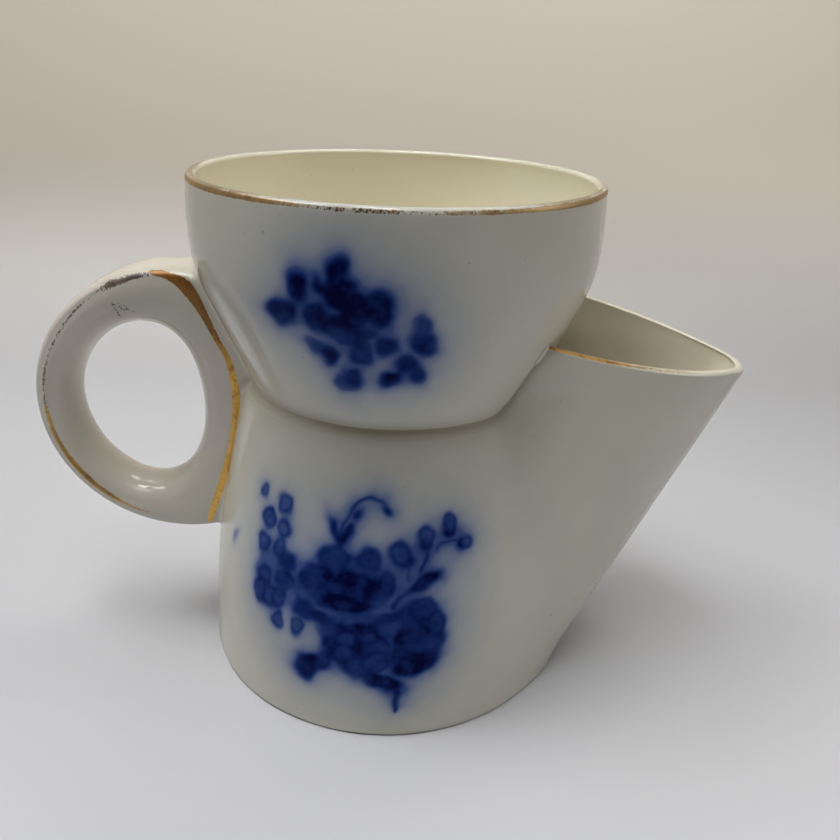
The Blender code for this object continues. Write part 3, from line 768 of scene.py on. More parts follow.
def spray_density(along, up, petals, stalks):
    """Density of the blue print, with the haze that ran out of it into the glaze."""
    along, up = along + INK_WANDER * wander(along, up), up + INK_WANDER * wander(up, along)
    tone_here = np.zeros_like(along)
    clear = [np.ones_like(along) for _ in FLOW]
    for middle_along, middle_up, half_length, half_width, tilt, tone, rim_tone in petals:
        cosine = math.cos(math.radians(tilt))
        sine = math.sin(math.radians(tilt))
        off_along, off_up = along - middle_along, up - middle_up
        lengthwise = (off_along * cosine + off_up * sine) / half_length
        sideways = (off_up * cosine - off_along * sine) / half_width
        reached = np.hypot(lengthwise, sideways)
        outside = (reached - 1.0) * math.sqrt(half_length * half_width)
        fill = soft_edge(outside, INK_EDGE)
        edge = np.clip((reached - PETAL_RIM_START) / PETAL_RIM_WIDTH, 0.0, 1.0)
        shade = tone + (rim_tone - tone) * edge * edge * (3 - 2 * edge)
        tone_here = tone_here * (1 - fill) + shade * fill
        for k, (reach, start, _) in enumerate(FLOW):
            clear[k] *= 1 - start * tone * np.exp(-np.maximum(outside, 0.0) / reach)
    for line in stalks:
        for start, end in zip(line, line[1:]):
            outside, _ = off_stroke(along, up, start, end)
            tone_here = np.maximum(tone_here, STALK_TONE * soft_edge(outside, STALK_EDGE))
            clear[0] *= 1 - STALK_FLOW * np.exp(-np.maximum(outside, 0.0) / FLOW[0][0])
    haze = sum(strength * (1 - left) for (_, _, strength), left in zip(FLOW, clear))
    return 1 - (1 - tone_here) * (1 - haze * (1 - HAZE_HIDDEN * tone_here))


def spray_on_wall(places, radius, middle, petals, stalks):
    """Print on both sides of the ware; the back carries the same spray as the front."""
    turn = np.arctan2(places[:, 1], places[:, 0])
    density = np.zeros(len(places))
    for quarter in (-math.pi / 2, math.pi / 2):
        swing = np.mod(turn - quarter + math.pi, 2 * math.pi) - math.pi
        along = radius * swing - middle[0]
        up = places[:, 2] - middle[1]
        near = (np.abs(along) < SPRAY_REACH[0]) & (np.abs(up) < SPRAY_REACH[1])
        density[near] = np.maximum(density[near], spray_density(along[near], up[near], petals, stalks))
    return density


def line_strength(x, z, points):
    """Strength of a painted line with changing width, 0.5 at its edge."""
    best = np.zeros_like(x)
    for start, end in zip(points, points[1:]):
        outside, share = off_stroke(x, z, start, end)
        strength = start[3] + (end[3] - start[3]) * share
        best = np.maximum(best, soft_edge(outside, GILT_EDGE) * strength)
    return best


def ramp_by_turn(turn, stops):
    """Value that changes with the direction round the cup, from (degrees, value) stops."""
    degrees = np.mod(np.degrees(turn) + 180.0, 360.0) - 180.0
    return np.interp(degrees, *zip(*stops))


# Finishes

class Wire:
    """Output of a node; a sign between two of them adds a math node to their tree."""

    def __init__(self, tree, socket):
        self.tree = tree
        self.socket = socket

    def __add__(self, other):
        return calc(self.tree, "ADD", self, other)

    def __sub__(self, other):
        return calc(self.tree, "SUBTRACT", self, other)

    def __rsub__(self, other):
        return calc(self.tree, "SUBTRACT", other, self)

    def __mul__(self, other):
        return calc(self.tree, "MULTIPLY", self, other)

    def __truediv__(self, other):
        return calc(self.tree, "DIVIDE", self, other)

    def __mod__(self, other):
        return calc(self.tree, "MODULO", self, other)

    def clamped(self):
        """The same output, held between 0 and 1."""
        self.socket.node.use_clamp = True
        return self

    def between(self, low, high):
        """Soft step from 0 at low to 1 at high."""
        return wire(self.tree, "ShaderNodeMapRange", "Result",
                    {"Value": self, "From Min": low, "From Max": high}, interpolation_type="SMOOTHSTEP")


def put(tree, kind, inputs, **settings):
    """A node with its settings made and its inputs set or linked."""
    node = tree.nodes.new(kind)
    for key, value in settings.items():
        setattr(node, key, value)
    for key, value in inputs.items():
        socket = node.inputs[key]
        if isinstance(value, Wire):
            tree.links.new(value.socket, socket)
        elif socket.type == "RGBA":
            socket.default_value = (*value, 1.0)
        else:
            socket.default_value = value
    return node


def wire(tree, kind, output, inputs, **settings):
    """One output of a new node."""
    return Wire(tree, put(tree, kind, inputs, **settings).outputs[output])


def noise(tree, place, scale, detail=2.0, roughness=0.5):
    """Cloudy pattern with this many waves in a metre."""
    return wire(tree, "ShaderNodeTexNoise", "Fac",
                {"Vector": place, "Scale": scale, "Detail": detail, "Roughness": roughness})


def calc(tree, operation, first, second=0.0):
    """Result of a math node."""
    return wire(tree, "ShaderNodeMath", "Value", {0: first, 1: second}, operation=operation)


def blend(tree, share, first, second, kind="MIX"):
    """Colour between two others."""
    return wire(tree, "ShaderNodeMix", 2, {0: share, 6: first, 7: second}, data_type="RGBA", blend_type=kind)


def attribute(tree, name):
    """Paint that the vertices carry under this name."""
    return wire(tree, "ShaderNodeAttribute", "Fac", {}, attribute_name=name)


def ramp(tree, value, stops):
    """Colour that changes with a value, from (value, colour) stops."""
    node = put(tree, "ShaderNodeValToRGB", {"Fac": value})
    band = node.color_ramp
    while len(band.elements) < len(stops):
        band.elements.new(0.5)
    for element, (place, colour) in zip(band.elements, stops):
        element.position = place
        element.color = (*colour, 1.0)
    return Wire(tree, node.outputs["Color"])


def new_material(name):
    """Empty material with its tree, and the object's own coordinates in it."""
    material = bpy.data.materials.new(name)
    material.use_nodes = True
    tree = material.node_tree
    tree.nodes.clear()
    return material, tree, wire(tree, "ShaderNodeTexCoord", "Object", {})


def surface_of(tree, inputs):
    """Surface with these colours and finishes."""
    return wire(tree, "ShaderNodeBsdfPrincipled", "BSDF", inputs)


def mix_surfaces(tree, share, first, second):
    """First surface, with this share of the second over it."""
    return wire(tree, "ShaderNodeMixShader", "Shader", {0: share, 1: first, 2: second})


INK_STOPS = [
    (0.0, (1.0, 1.0, 1.0)),
    (0.12, (0.70, 0.75, 0.90)),
    (0.30, (0.33, 0.43, 0.78)),
    (0.50, (0.090, 0.165, 0.57)),
    (0.66, (0.032, 0.085, 0.42)),
    (0.82, (0.009, 0.038, 0.28)),
    (1.0, (0.0006, 0.003, 0.085)),
]


def ink_density(tree, place):
    """Density of the print, mottled and pooled where there is much of it."""
    mottle = noise(tree, place, MOTTLE_GRAIN, 3.0, 0.6)
    pool = noise(tree, place, POOL_GRAIN)
    ink = attribute(tree, "ink")
    uneven = (mottle * MOTTLE_SHARE + pool * POOL_SHARE - INK_EVEN) * ink
    return (ink * (uneven + 1.0)).clamped()


def glazed(name, first, second, printed=False, lined=None, roughness=0.10, waviness=0.10):
    """Cloudy white glaze with specks, a brown crease of painted shade and dirt, and gilding, and where asked
    with print or a lining.
    """
    material, tree, place = new_material(name)
    cloud = noise(tree, place, CLOUD_GRAIN, 3.0)
    colour = blend(tree, cloud.between(*CLOUD_RANGE), first, second)
    if lined:
        lining = blend(tree, cloud.between(*LINING_RANGE), *lined)
        colour = blend(tree, attribute(tree, "inside"), colour, lining)
    speck = noise(tree, place, SPECK_GRAIN, 1.0).between(*SPECK_RANGE)
    colour = blend(tree, speck * SPECK_SHARE, colour, SPECK_BROWN)
    crease_shade_dirt = attribute(tree, "crease_shade_dirt")
    # painted shade and dirt in the crease, as brown
    colour = blend(tree, crease_shade_dirt, colour, CREASE_SHADE_DIRT_BROWN)
    dust_and_shade = crease_shade_dirt.between(*DUST_AND_SHADE_RANGE)
    shine = GLAZE_SHINE - dust_and_shade * DUST_AND_SHADE_DULLS
    if printed:
        density = ink_density(tree, place)
        colour = blend(tree, 1.0, colour, ramp(tree, density, INK_STOPS), "MULTIPLY")
        shine = (shine - density.between(*INK_RANGE) * INK_DULLS).clamped()
    relief = noise(tree, place, RIPPLE_GRAIN) + noise(tree, place, PIT_GRAIN) * PIT_SHARE
    bump = wire(tree, "ShaderNodeBump", "Normal",
                {"Height": relief, "Strength": waviness, "Distance": RIPPLE_DEPTH})
    gloss = cloud * CLOUD_ROUGHENS + (roughness - CLOUD_ROUGHENS / 2) + dust_and_shade * DUST_AND_SHADE_ROUGHENS
    ware = surface_of(tree, {"Base Color": colour, "Roughness": gloss, "IOR": GLAZE_IOR,
                             "Specular IOR Level": shine, "Normal": bump})
    put(tree, "ShaderNodeOutputMaterial", {"Surface": gilding_over(tree, ware, place)})
    return material


def mixed(first, second, shares):
    """Sum of two patterns, each with its share."""
    return first * shares[0] + second * shares[1]


def gilding_over(tree, surface, place):
    """Worn gold over the glaze, brown or dull where it was rubbed, and sooty specks on its edges."""
    wear = noise(tree, place, WEAR_GRAIN, 4.0, 0.65)
    scrape = noise(tree, place, SCRAPE_GRAIN, 3.0, 0.6)
    tone = noise(tree, place, TONE_GRAIN, 3.0, 0.6)
    left = attribute(tree, "gilt") - mixed(wear, scrape, WEAR_MIX) * WEAR_DEPTH
    browned = attribute(tree, "browned")
    bright = (mixed(tone, wear, TONE_MIX).between(*BRIGHT_RANGE) - browned).clamped()
    metal = blend(tree, attribute(tree, "dulled"), blend(tree, bright, GOLD_BROWN, GOLD), GOLD_DULL)
    gold = surface_of(tree, {"Base Color": metal, "Metallic": GOLD_METAL - browned * BROWN_METAL_LOSS,
                             "Roughness": wear * WEAR_ROUGHENS + GOLD_ROUGHNESS})
    fine = noise(tree, place, SOOT_GRAIN)
    dark = attribute(tree, "soot") - mixed(fine, scrape, SOOT_MIX) * SOOT_DEPTH
    soot = blend(tree, tone.between(*SOOT_TONE_RANGE), SOOT, SOOT_BROWN)
    remains = surface_of(tree, {"Base Color": soot, "Roughness": SOOT_ROUGHNESS})
    gilded = mix_surfaces(tree, left.between(*GILT_RANGE), surface, gold)
    return mix_surfaces(tree, dark.between(*SOOT_EDGE_RANGE) * SOOT_SHARE, gilded, remains)


# Pieces

def ware_turns(front_end, back_end):
    """Directions of the lower ware's columns, close together under the front print and round the lip."""
    step = math.degrees(WARE_STEP / BODY_SPRAY_RADIUS)
    lip_side = math.radians(LIP_SIDE)
    return np.unique(np.round(np.concatenate([
        np.radians(np.arange(*HANDLE_TURNS, PLAIN_STEP)),
        np.radians(np.arange(*PRINT_TURNS, step)),
        np.linspace(-lip_side, front_end, LIP_SIDE_COLUMNS)[:-1],
        np.linspace(front_end, back_end, LIP_COLUMNS),
        np.linspace(back_end, lip_side, LIP_SIDE_COLUMNS)[1:],
        np.radians(np.arange(*BACK_TURNS, PLAIN_STEP))]), 7))


def foot_rows(turns):
    """Radius and height of the rows under the foot, from the recess over the foot ring to its round edge."""
    even = np.ones_like(turns)
    ring_inner = BASE_RADIUS - FOOT_EDGE - FOOT_RING_WIDTH
    under = [(ring_inner / 2, FOOT_RECESS), (ring_inner - FOOT_RECESS, FOOT_RECESS)]
    under += [(ring_inner + out, z) for out, z in FOOT_RING_EASE]
    under.append((BASE_RADIUS - FOOT_FLAT_END, 0.0))
    rows = [(radius * even, z * even) for radius, z in under]
    foot = outer_radius(turns, FOOT_EDGE)
    for turn in np.linspace(0.0, math.pi / 2, FOOT_EDGE_ROWS)[:-1]:
        rows.append((foot - FOOT_EDGE * (1 - math.sin(turn)), FOOT_EDGE * (1 - math.cos(turn)) * even))
    return rows


def wall_rows(turns, end):
    """Rows up the outside, from the foot to its end in each direction."""
    heights = [FOOT_EDGE + (end - FOOT_EDGE) * share for share in np.linspace(0.0, 1.0, WALL_ROWS)]
    return [(outer_radius(turns, z), z) for z in heights]


def inner_rows(turns, top, free, rounding, overlap):
    """Rows over the round lip and down the inside to the floor of the chamber."""

    def lip_level(radius):
        """Height of the lip, or of the end of the wall where there is none."""
        return np.where(free, mouth_height(radius * np.cos(turns), radius * np.sin(turns)), top)

    outside = outer_radius(turns, top - rounding)
    inside = np.minimum(inner_radius(turns, top - rounding), outside - THINNEST)
    middle = (outside + inside) / 2
    half = (outside - inside) / 2
    rows = []
    for angle in np.linspace(0.0, math.pi, LIP_ROWS)[1:-1]:
        radius = middle + half * math.cos(angle)
        rows.append((radius, lip_level(radius) - rounding * (1 - math.sin(angle)) + overlap))
    start = lip_level(inside) - rounding
    for share in np.linspace(0.0, 1.0, INSIDE_ROWS):
        z = start + (CHAMBER_FLOOR - start) * share
        rows.append((np.minimum(inner_radius(turns, z), outer_radius(turns, z) - THINNEST), z))
    for share in CHAMBER_FLOOR_SHARES:
        rows.append((inner_radius(turns, CHAMBER_FLOOR) * share, np.full_like(turns, CHAMBER_FLOOR)))
    return rows


def spout_share(turns, rows, first_wall, first_lip, face_count):
    """Which faces of the lower ware belong to the spout: those where it stands out of the reservoir."""
    columns = len(turns)
    mid_turn = (turns + np.roll(turns, -1)) / 2
    on_spout = np.zeros(face_count, bool)
    for row in range(first_wall, len(rows) - 3):
        z = rows[row][1]
        depth = 0.0 if row < first_lip else WALL
        own = spout_radius(mid_turn, z, -depth) > body_radius(z) - depth
        own[-1] = False
        on_spout[row * columns:(row + 1) * columns] = own
    return on_spout


def make_lower_ware(white):
    """Reservoir and spout as one flowing skin, shared out to the two pieces."""
    front_end, back_end = lip_corners()
    turns = ware_turns(front_end, back_end)
    top, free = wall_top(turns)
    beyond = np.where(turns < 0, front_end - turns, turns - back_end)
    rounding = LIP_ROUND * np.clip(1.0 - beyond / math.radians(ROUNDING_FADE), 0.0, 1.0)
    overlap = CUP_OVERLAP * np.clip(beyond / math.radians(OVERLAP_FADE), 0.0, 1.0)
    rows = foot_rows(turns)
    first_wall = len(rows)
    rows += wall_rows(turns, top - rounding + overlap)
    first_lip = len(rows)
    rows += inner_rows(turns, top, free, rounding, overlap)
    points = np.stack([np.stack([r * np.cos(turns), r * np.sin(turns), z], axis=-1) for r, z in rows])
    verts, faces = closed_grid(points)
    normals = vertex_normals(verts, faces)
    on_spout = spout_share(turns, rows, first_wall, first_lip, len(faces))
    for name, chosen, node in (("reservoir_ware", ~on_spout, "reservoir"), ("spout_ware", on_spout, "spout")):
        part_verts, part_faces, used = part_of_mesh(verts, faces, chosen)
        row_of = used // len(turns)
        part_faces += joint_faces(part_verts, part_faces, row_of >= first_lip + LIP_MIDDLE_ROW)
        mesh = new_mesh(name, part_verts, part_faces, normals[used])
        places = mesh_places(mesh)
        set_values(mesh, "inside", np.clip((row_of - first_lip - LINING_ROW) / LINING_FADE, 0.0, 1.0))
        set_values(mesh, "ink", lower_print(places))
        set_values(mesh, "gilt", lip_gilding(places))
        set_values(mesh, "dulled", np.full(len(places), LIP_DULLED))
        set_values(mesh, "browned", np.full(len(places), LIP_BROWNED))
        set_values(mesh, "crease_shade_dirt", crease_shade_and_dirt(places, turns, top))
        add_piece(name, mesh, white, "white_glaze", node)
    return turns, top, front_end, back_end


def lower_print(places):
    """The larger spray, on the outside of the reservoir only."""
    density = spray_on_wall(places, BODY_SPRAY_RADIUS, BODY_SPRAY_MIDDLE, body_spray(), body_stalks())
    radius = np.hypot(places[:, 0], places[:, 1])
    return np.where(radius > body_radius(places[:, 2]) - PRINT_SKIN, density, 0.0)


def crease_shade_and_dirt(places, turns, top):
    """Painted shade and dirt, in brown, in the crease under the cup, strongest in the middle, fading down the
    shoulder.
    """
    x, y, z = places.T
    turn = np.arctan2(y, x)
    crease = np.interp(turn, turns, top)
    out = np.abs(np.hypot(x, y) - cup_radius(crease))
    beside = np.where(z > crease, (z - crease) / CREASE_ABOVE, (crease - z + out) / CREASE_BELOW)
    share = CREASE_SHADE_AND_DIRT + CREASE_SHADE_AND_DIRT_MIDDLE * np.exp(-(x / CREASE_MIDDLE) ** 2)
    return np.where(x < LIP_END_X, share * np.exp(-beside * beside), 0.0)


def lip_gilding(places):
    """Gold on the top of the lip, full beside the cup at the front and worn away towards the tip."""
    x, y, z = places.T
    turn = np.arctan2(y, x)
    inward = spout_radius(turn, np.minimum(z, LIP_GILT_TOP), 0.0) - np.hypot(x, y)
    under = mouth_height(x, y) - z
    on_lip = (under < LIP_GILT_FIELD) & (np.abs(turn) < math.radians(LIP_GILT_TURN))
    on_lip &= inward < LIP_WALL + LIP_GILT_INSIDE
    middle, half_width = LIP_GILT_BAND
    cover = soft_edge(np.abs(inward - middle) - half_width, 0.25) * soft_edge(under - LIP_GILT_DEPTH, 0.3)
    front, back = [np.interp(x, *zip(*stops)) for stops in (LIP_FRONT_GILT, LIP_BACK_GILT)]
    return np.where(on_lip, cover * np.where(y < 0, front, back), 0.0)


def cup_profile(plate_radius):
    """Closed section of the cup's wall, from its floor's seat round the outside, the rim and the inside."""
    lip = RIM_WALL / 2
    foot_radius = float(cup_radius(CUP_FOOT_HEIGHT))
    floor_top = CUP_FOOT_HEIGHT + CUP_FLOOR
    bend = CUP_FLOOR_BEND
    profile = [(plate_radius, CUP_FOOT_HEIGHT), (foot_radius - CUP_FOOT_EASE, CUP_FOOT_HEIGHT),
               (foot_radius - CUP_FOOT_BEVEL, CUP_FOOT_HEIGHT + CUP_FOOT_BEVEL)]
    outside = np.concatenate([
        np.linspace(CUP_FOOT_HEIGHT + CUP_FOOT_EASE, CUP_BELOW_PRINT, CUP_PLAIN_ROWS),
        np.arange(*CUP_PRINT_HEIGHTS, WARE_STEP),
        np.linspace(CUP_ABOVE_PRINT, HEIGHT - lip, CUP_PLAIN_ROWS)])
    profile += [(float(cup_radius(z)), float(z)) for z in outside]
    profile += [(RIM_RADIUS - lip + lip * math.cos(angle), HEIGHT - lip + lip * math.sin(angle))
                for angle in np.linspace(0.0, math.pi, RIM_ROWS)[1:-1]]
    for z in np.linspace(HEIGHT - lip, floor_top + bend, CUP_INSIDE_ROWS):
        share = min((HEIGHT - lip - z) / RIM_FEATHER, 1.0)
        wall = RIM_WALL + (CUP_WALL - RIM_WALL) * share * share * (3 - 2 * share)
        profile.append((float(cup_radius(z)) - wall, float(z)))
    corner = float(cup_radius(floor_top + bend)) - CUP_WALL
    profile += [(corner - CUP_BEND_STRETCH * bend * (1 - math.cos(angle)),
                 floor_top + bend * (1 - math.sin(angle)))
                for angle in np.linspace(0.0, math.pi / 2, CUP_BEND_ROWS)[1:]]
    profile.append((plate_radius, floor_top))
    return profile


def new_tree(name, **inputs):
    """Empty geometry tree with named inputs, their identifiers, and the inputs themselves."""
    tree = bpy.data.node_groups.new(name, "GeometryNodeTree")
    keys = {}
    for label, kind in inputs.items():
        socket = tree.interface.new_socket(label, in_out="INPUT", socket_type="NodeSocket" + kind)
        keys[label] = socket.identifier
    tree.interface.new_socket("shape", in_out="OUTPUT", socket_type="NodeSocketGeometry")
    sockets = tree.nodes.new("NodeGroupInput").outputs
    return tree, keys, [Wire(tree, sockets[label]) for label in inputs]


def joined(tree, *pieces):
    """Several geometries as one."""
    node = tree.nodes.new("GeometryNodeJoinGeometry")
    for piece in pieces:
        tree.links.new(piece.socket, node.inputs["Geometry"])
    return Wire(tree, node.outputs["Geometry"])


def sealed(tree, geometry):
    """Geometry with its double points merged."""
    return wire(tree, "GeometryNodeMergeByDistance", "Geometry", {"Geometry": geometry, "Distance": SEAL})


def smooth(tree, geometry):
    """Geometry with smooth shading."""
    return wire(tree, "GeometryNodeSetShadeSmooth", "Geometry", {"Geometry": geometry})


def read_at(tree, geometry, value, index):
    """What a point of a geometry has as its value, a vector."""
    return wire(tree, "GeometryNodeSampleIndex", "Value",
                {"Geometry": geometry, "Value": value, "Index": index}, data_type="FLOAT_VECTOR")


def turned_cup_tree():
    """Turns a closed profile round the cup's axis, with columns crowded together under the front print."""
    tree, keys, (profile, columns, crowding, finish) = new_tree(
        "turned_cup", profile="Geometry", columns="Int", crowding="Float", finish="Material")
    rows = wire(tree, "GeometryNodeAttributeDomainSize", "Point Count", {"Geometry": profile})
    index = wire(tree, "GeometryNodeInputIndex", "Index", {})
    loops = rows + 1.0
    grid = wire(tree, "GeometryNodeMeshGrid", "Mesh", {"Vertices X": columns + 1.0, "Vertices Y": loops})
    row = index % loops % rows
    column = calc(tree, "FLOOR", index / loops)
    swing = (column / columns - 0.5) * (2 * math.pi)
    turn = swing - crowding * calc(tree, "SINE", swing) - math.pi / 2
    place = wire(tree, "GeometryNodeInputPosition", "Position", {})
    turned = wire(tree, "ShaderNodeVectorRotate", "Vector",
                  {"Vector": read_at(tree, profile, place, row), "Angle": turn}, rotation_type="Z_AXIS")
    wall = wire(tree, "GeometryNodeSetPosition", "Geometry",
                {"Geometry": grid, "Position": turned, "Offset": (AXIS_SHIFT * MM, 0, 0)})
    finish_tree(tree, smooth(tree, sealed(tree, wall)), finish)
    return tree, keys


def pierced_floor_tree():
    """Round plate with one drain hole in its middle and a ring of them round it."""
    tree, keys, (radius, thickness, height, hole_radius, hole_circle, hole_count, finish) = new_tree(
        "pierced_floor", radius="Float", thickness="Float", height="Float", hole_radius="Float",
        hole_circle="Float", hole_count="Int", finish="Material")
    edge, hole = [
        wire(tree, "GeometryNodeCurvePrimitiveCircle", "Curve", {"Resolution": sides, "Radius": size})
        for sides, size in ((PLATE_SIDES, radius), (HOLE_SIDES, hole_radius))]
    ring = wire(tree, "GeometryNodeMeshCircle", "Mesh", {"Vertices": hole_count, "Radius": hole_circle})
    middle = wire(tree, "GeometryNodeMeshLine", "Mesh", {"Count": 1})
    holes = wire(tree, "GeometryNodeInstanceOnPoints", "Instances",
                 {"Points": joined(tree, ring, middle), "Instance": hole})
    real_holes = wire(tree, "GeometryNodeRealizeInstances", "Geometry", {"Geometry": holes})
    sheet = wire(tree, "GeometryNodeFillCurve", "Mesh", {"Curve": joined(tree, edge, real_holes)})
    upper = wire(tree, "GeometryNodeExtrudeMesh", "Mesh",
                 {"Mesh": sheet, "Offset Scale": thickness, "Individual": False})
    lower = wire(tree, "GeometryNodeFlipFaces", "Mesh", {"Mesh": sheet})
    lift = wire(tree, "ShaderNodeCombineXYZ", "Vector", {"X": AXIS_SHIFT * MM, "Z": height})
    placed = wire(tree, "GeometryNodeSetPosition", "Geometry",
                  {"Geometry": sealed(tree, joined(tree, upper, lower)), "Offset": lift})
    finish_tree(tree, placed, finish)
    return tree, keys


def finish_tree(tree, geometry, finish):
    """Last nodes of every tree: real geometry with its finish on it."""
    real = wire(tree, "GeometryNodeRealizeInstances", "Geometry", {"Geometry": geometry})
    coated = wire(tree, "GeometryNodeSetMaterial", "Geometry", {"Geometry": real, "Material": finish})
    put(tree, "NodeGroupOutput", {0: coated})


def grow_mesh(start, tree, keys, **values):
    """Plain mesh that a node tree makes from a start mesh with these values of its inputs."""
    carrier = bpy.data.objects.new(start.name, start)
    bpy.context.scene.collection.objects.link(carrier)
    modifier = carrier.modifiers.new("shape", "NODES")
    modifier.node_group = tree
    for label, value in values.items():
        modifier[keys[label]] = value
    grown = bpy.data.meshes.new_from_object(carrier.evaluated_get(bpy.context.evaluated_depsgraph_get()))
    name = start.name
    bpy.data.objects.remove(carrier)
    bpy.data.meshes.remove(start)
    grown.name = name
    return grown


def make_soap_cup(white, turns, top):
    """Turned wall and pierced floor, joined to one mesh that carries print, gold and cream lining."""
    plate_radius = DRAIN_CIRCLE + 3 * DRAIN_RADIUS
    outline = bpy.data.meshes.new("cup_profile")
    outline.from_pydata([(r * MM, 0.0, z * MM) for r, z in cup_profile(plate_radius)], [], [])
    wall = grow_mesh(outline, *turned_cup_tree(), columns=CUP_COLUMNS, crowding=CUP_CROWDING, finish=white)
    plate = grow_mesh(
        bpy.data.meshes.new("floor_plate"), *pierced_floor_tree(), radius=plate_radius * MM,
        thickness=CUP_FLOOR * MM, height=CUP_FOOT_HEIGHT * MM, hole_radius=DRAIN_RADIUS * MM,
        hole_circle=DRAIN_CIRCLE * MM, hole_count=DRAIN_COUNT, finish=white)
    bm = bmesh.new()
    bm.from_mesh(wall)
    bm.from_mesh(plate)
    mesh = bpy.data.meshes.new("soap_cup_ware")
    bm.to_mesh(mesh)
    bm.free()
    places = mesh_places(mesh)
    x, y, z = places.T
    radius = np.hypot(x, y)
    middle = RIM_RADIUS - RIM_WALL / 2
    outer = radius > cup_radius(z) - RIM_WALL / 2
    within = np.where(z > HEIGHT - RIM_TURN, np.clip((middle - radius) / RIM_FADE, 0.0, 1.0), ~outer)
    set_values(mesh, "inside", within)
    density = spray_on_wall(places, CUP_SPRAY_RADIUS, CUP_SPRAY_MIDDLE, cup_spray(), [])
    set_values(mesh, "ink", np.where(outer, density, 0.0))
    set_values(mesh, "crease_shade_dirt", np.where(outer, crease_shade_and_dirt(places, turns, top), 0.0))
    gild_rim(mesh, radius, z, np.arctan2(y, x))
    add_piece("soap_cup_ware", mesh, white, "cream_glaze", "soap_cup")


def gild_rim(mesh, radius, z, turn):
    """Gold over the rim: dull at its outer edge, a thin line inside, rubbed through on top and in front."""
    lip = RIM_WALL / 2
    over = np.degrees(np.arctan2(z - (HEIGHT - lip), radius - (RIM_RADIUS - lip)))
    on_rim = (z > HEIGHT - RIM_FIELD[0]) & (radius > RIM_RADIUS - RIM_WALL - RIM_FIELD[1])
    outer = soft_edge(HEIGHT - RIM_OUTER_DROP - z, 0.14) * soft_edge(over - RIM_OUTER_END, 12.0)
    outer *= radius > RIM_RADIUS - lip
    inner = soft_edge(np.abs(over - RIM_INNER_LINE[0]) - RIM_INNER_LINE[1], 6.0) * (turn < 0)
    crest = soft_edge(np.abs(over - RIM_CREST[0]) - RIM_CREST[1], 10.0)
    kept, rubbed, topped = [ramp_by_turn(turn, stops) for stops in (RIM_KEPT, RIM_RUBBED, RIM_TOPPED)]
    gilt = np.maximum(np.maximum(outer, RIM_INNER_SHARE * inner), topped * crest) * kept
    dulled = RIM_DULLED + RIM_DULLED_CREST * crest
    for name, values in (("gilt", gilt), ("soot", outer * rubbed), ("browned", RIM_BROWNED),
                         ("dulled", dulled)):
        set_values(mesh, name, np.where(on_rim, values, 0.0))


def hole_edge(flare, angles):
    """Middle of the finger hole to its edge, an oval whose ends bend towards the wall."""
    around = np.linspace(0.0, 2 * math.pi, HOLE_EDGE_POINTS)
    across = (HOLE_HALF_WIDTH + HOLE_EASE[0] + flare) * np.cos(around)
    along = (HOLE_HALF_HEIGHT + HOLE_EASE[1] + flare) * np.sin(around)
    bend = np.where(along > 0, HOLE_BEND_TOP, HOLE_BEND_FOOT) * (along / HOLE_HALF_HEIGHT) ** 2
    x = HOLE_SHIFT + bend + across * math.cos(HOLE_LEAN) + along * math.sin(HOLE_LEAN)
    z = along * math.cos(HOLE_LEAN) - across * math.sin(HOLE_LEAN)
    return np.interp(angles, np.arctan2(z, x), np.hypot(x, z), period=2 * math.pi)


def ring_edge(drop, angles):
    """Middle of the finger hole to the outside of the ring, or to that far inside it."""
    off_x = HOLE_X - RING_X
    off_z = HOLE_HEIGHT - RING_HEIGHT
    toward = np.cos(angles) * off_x + np.sin(angles) * off_z
    return -toward + np.sqrt(toward ** 2 - off_x ** 2 - off_z ** 2 + (RING_RADIUS - drop) ** 2)


def rounded(turn):
    """Depth and width shares of a section with round corners, from one side over the middle to the other."""
    depth = abs(math.cos(turn)) ** SECTION_POWER
    return depth, math.copysign(abs(math.sin(turn)) ** SECTION_POWER, turn)


def handle_stop(angles):
    """Distance from the middle of the finger hole to a little way inside the wall of the vessel."""
    reach = np.linspace(*HANDLE_REACHES, HANDLE_REACH_STEPS)
    x = HOLE_X + reach[None, :] * np.cos(angles)[:, None]
    z = HOLE_HEIGHT + reach[None, :] * np.sin(angles)[:, None]
    within = x > -(vessel_radius(z) - HANDLE_EMBED)
    first = np.argmax(within, axis=1)
    return np.where(within.any(axis=1), reach[first], NO_STOP)


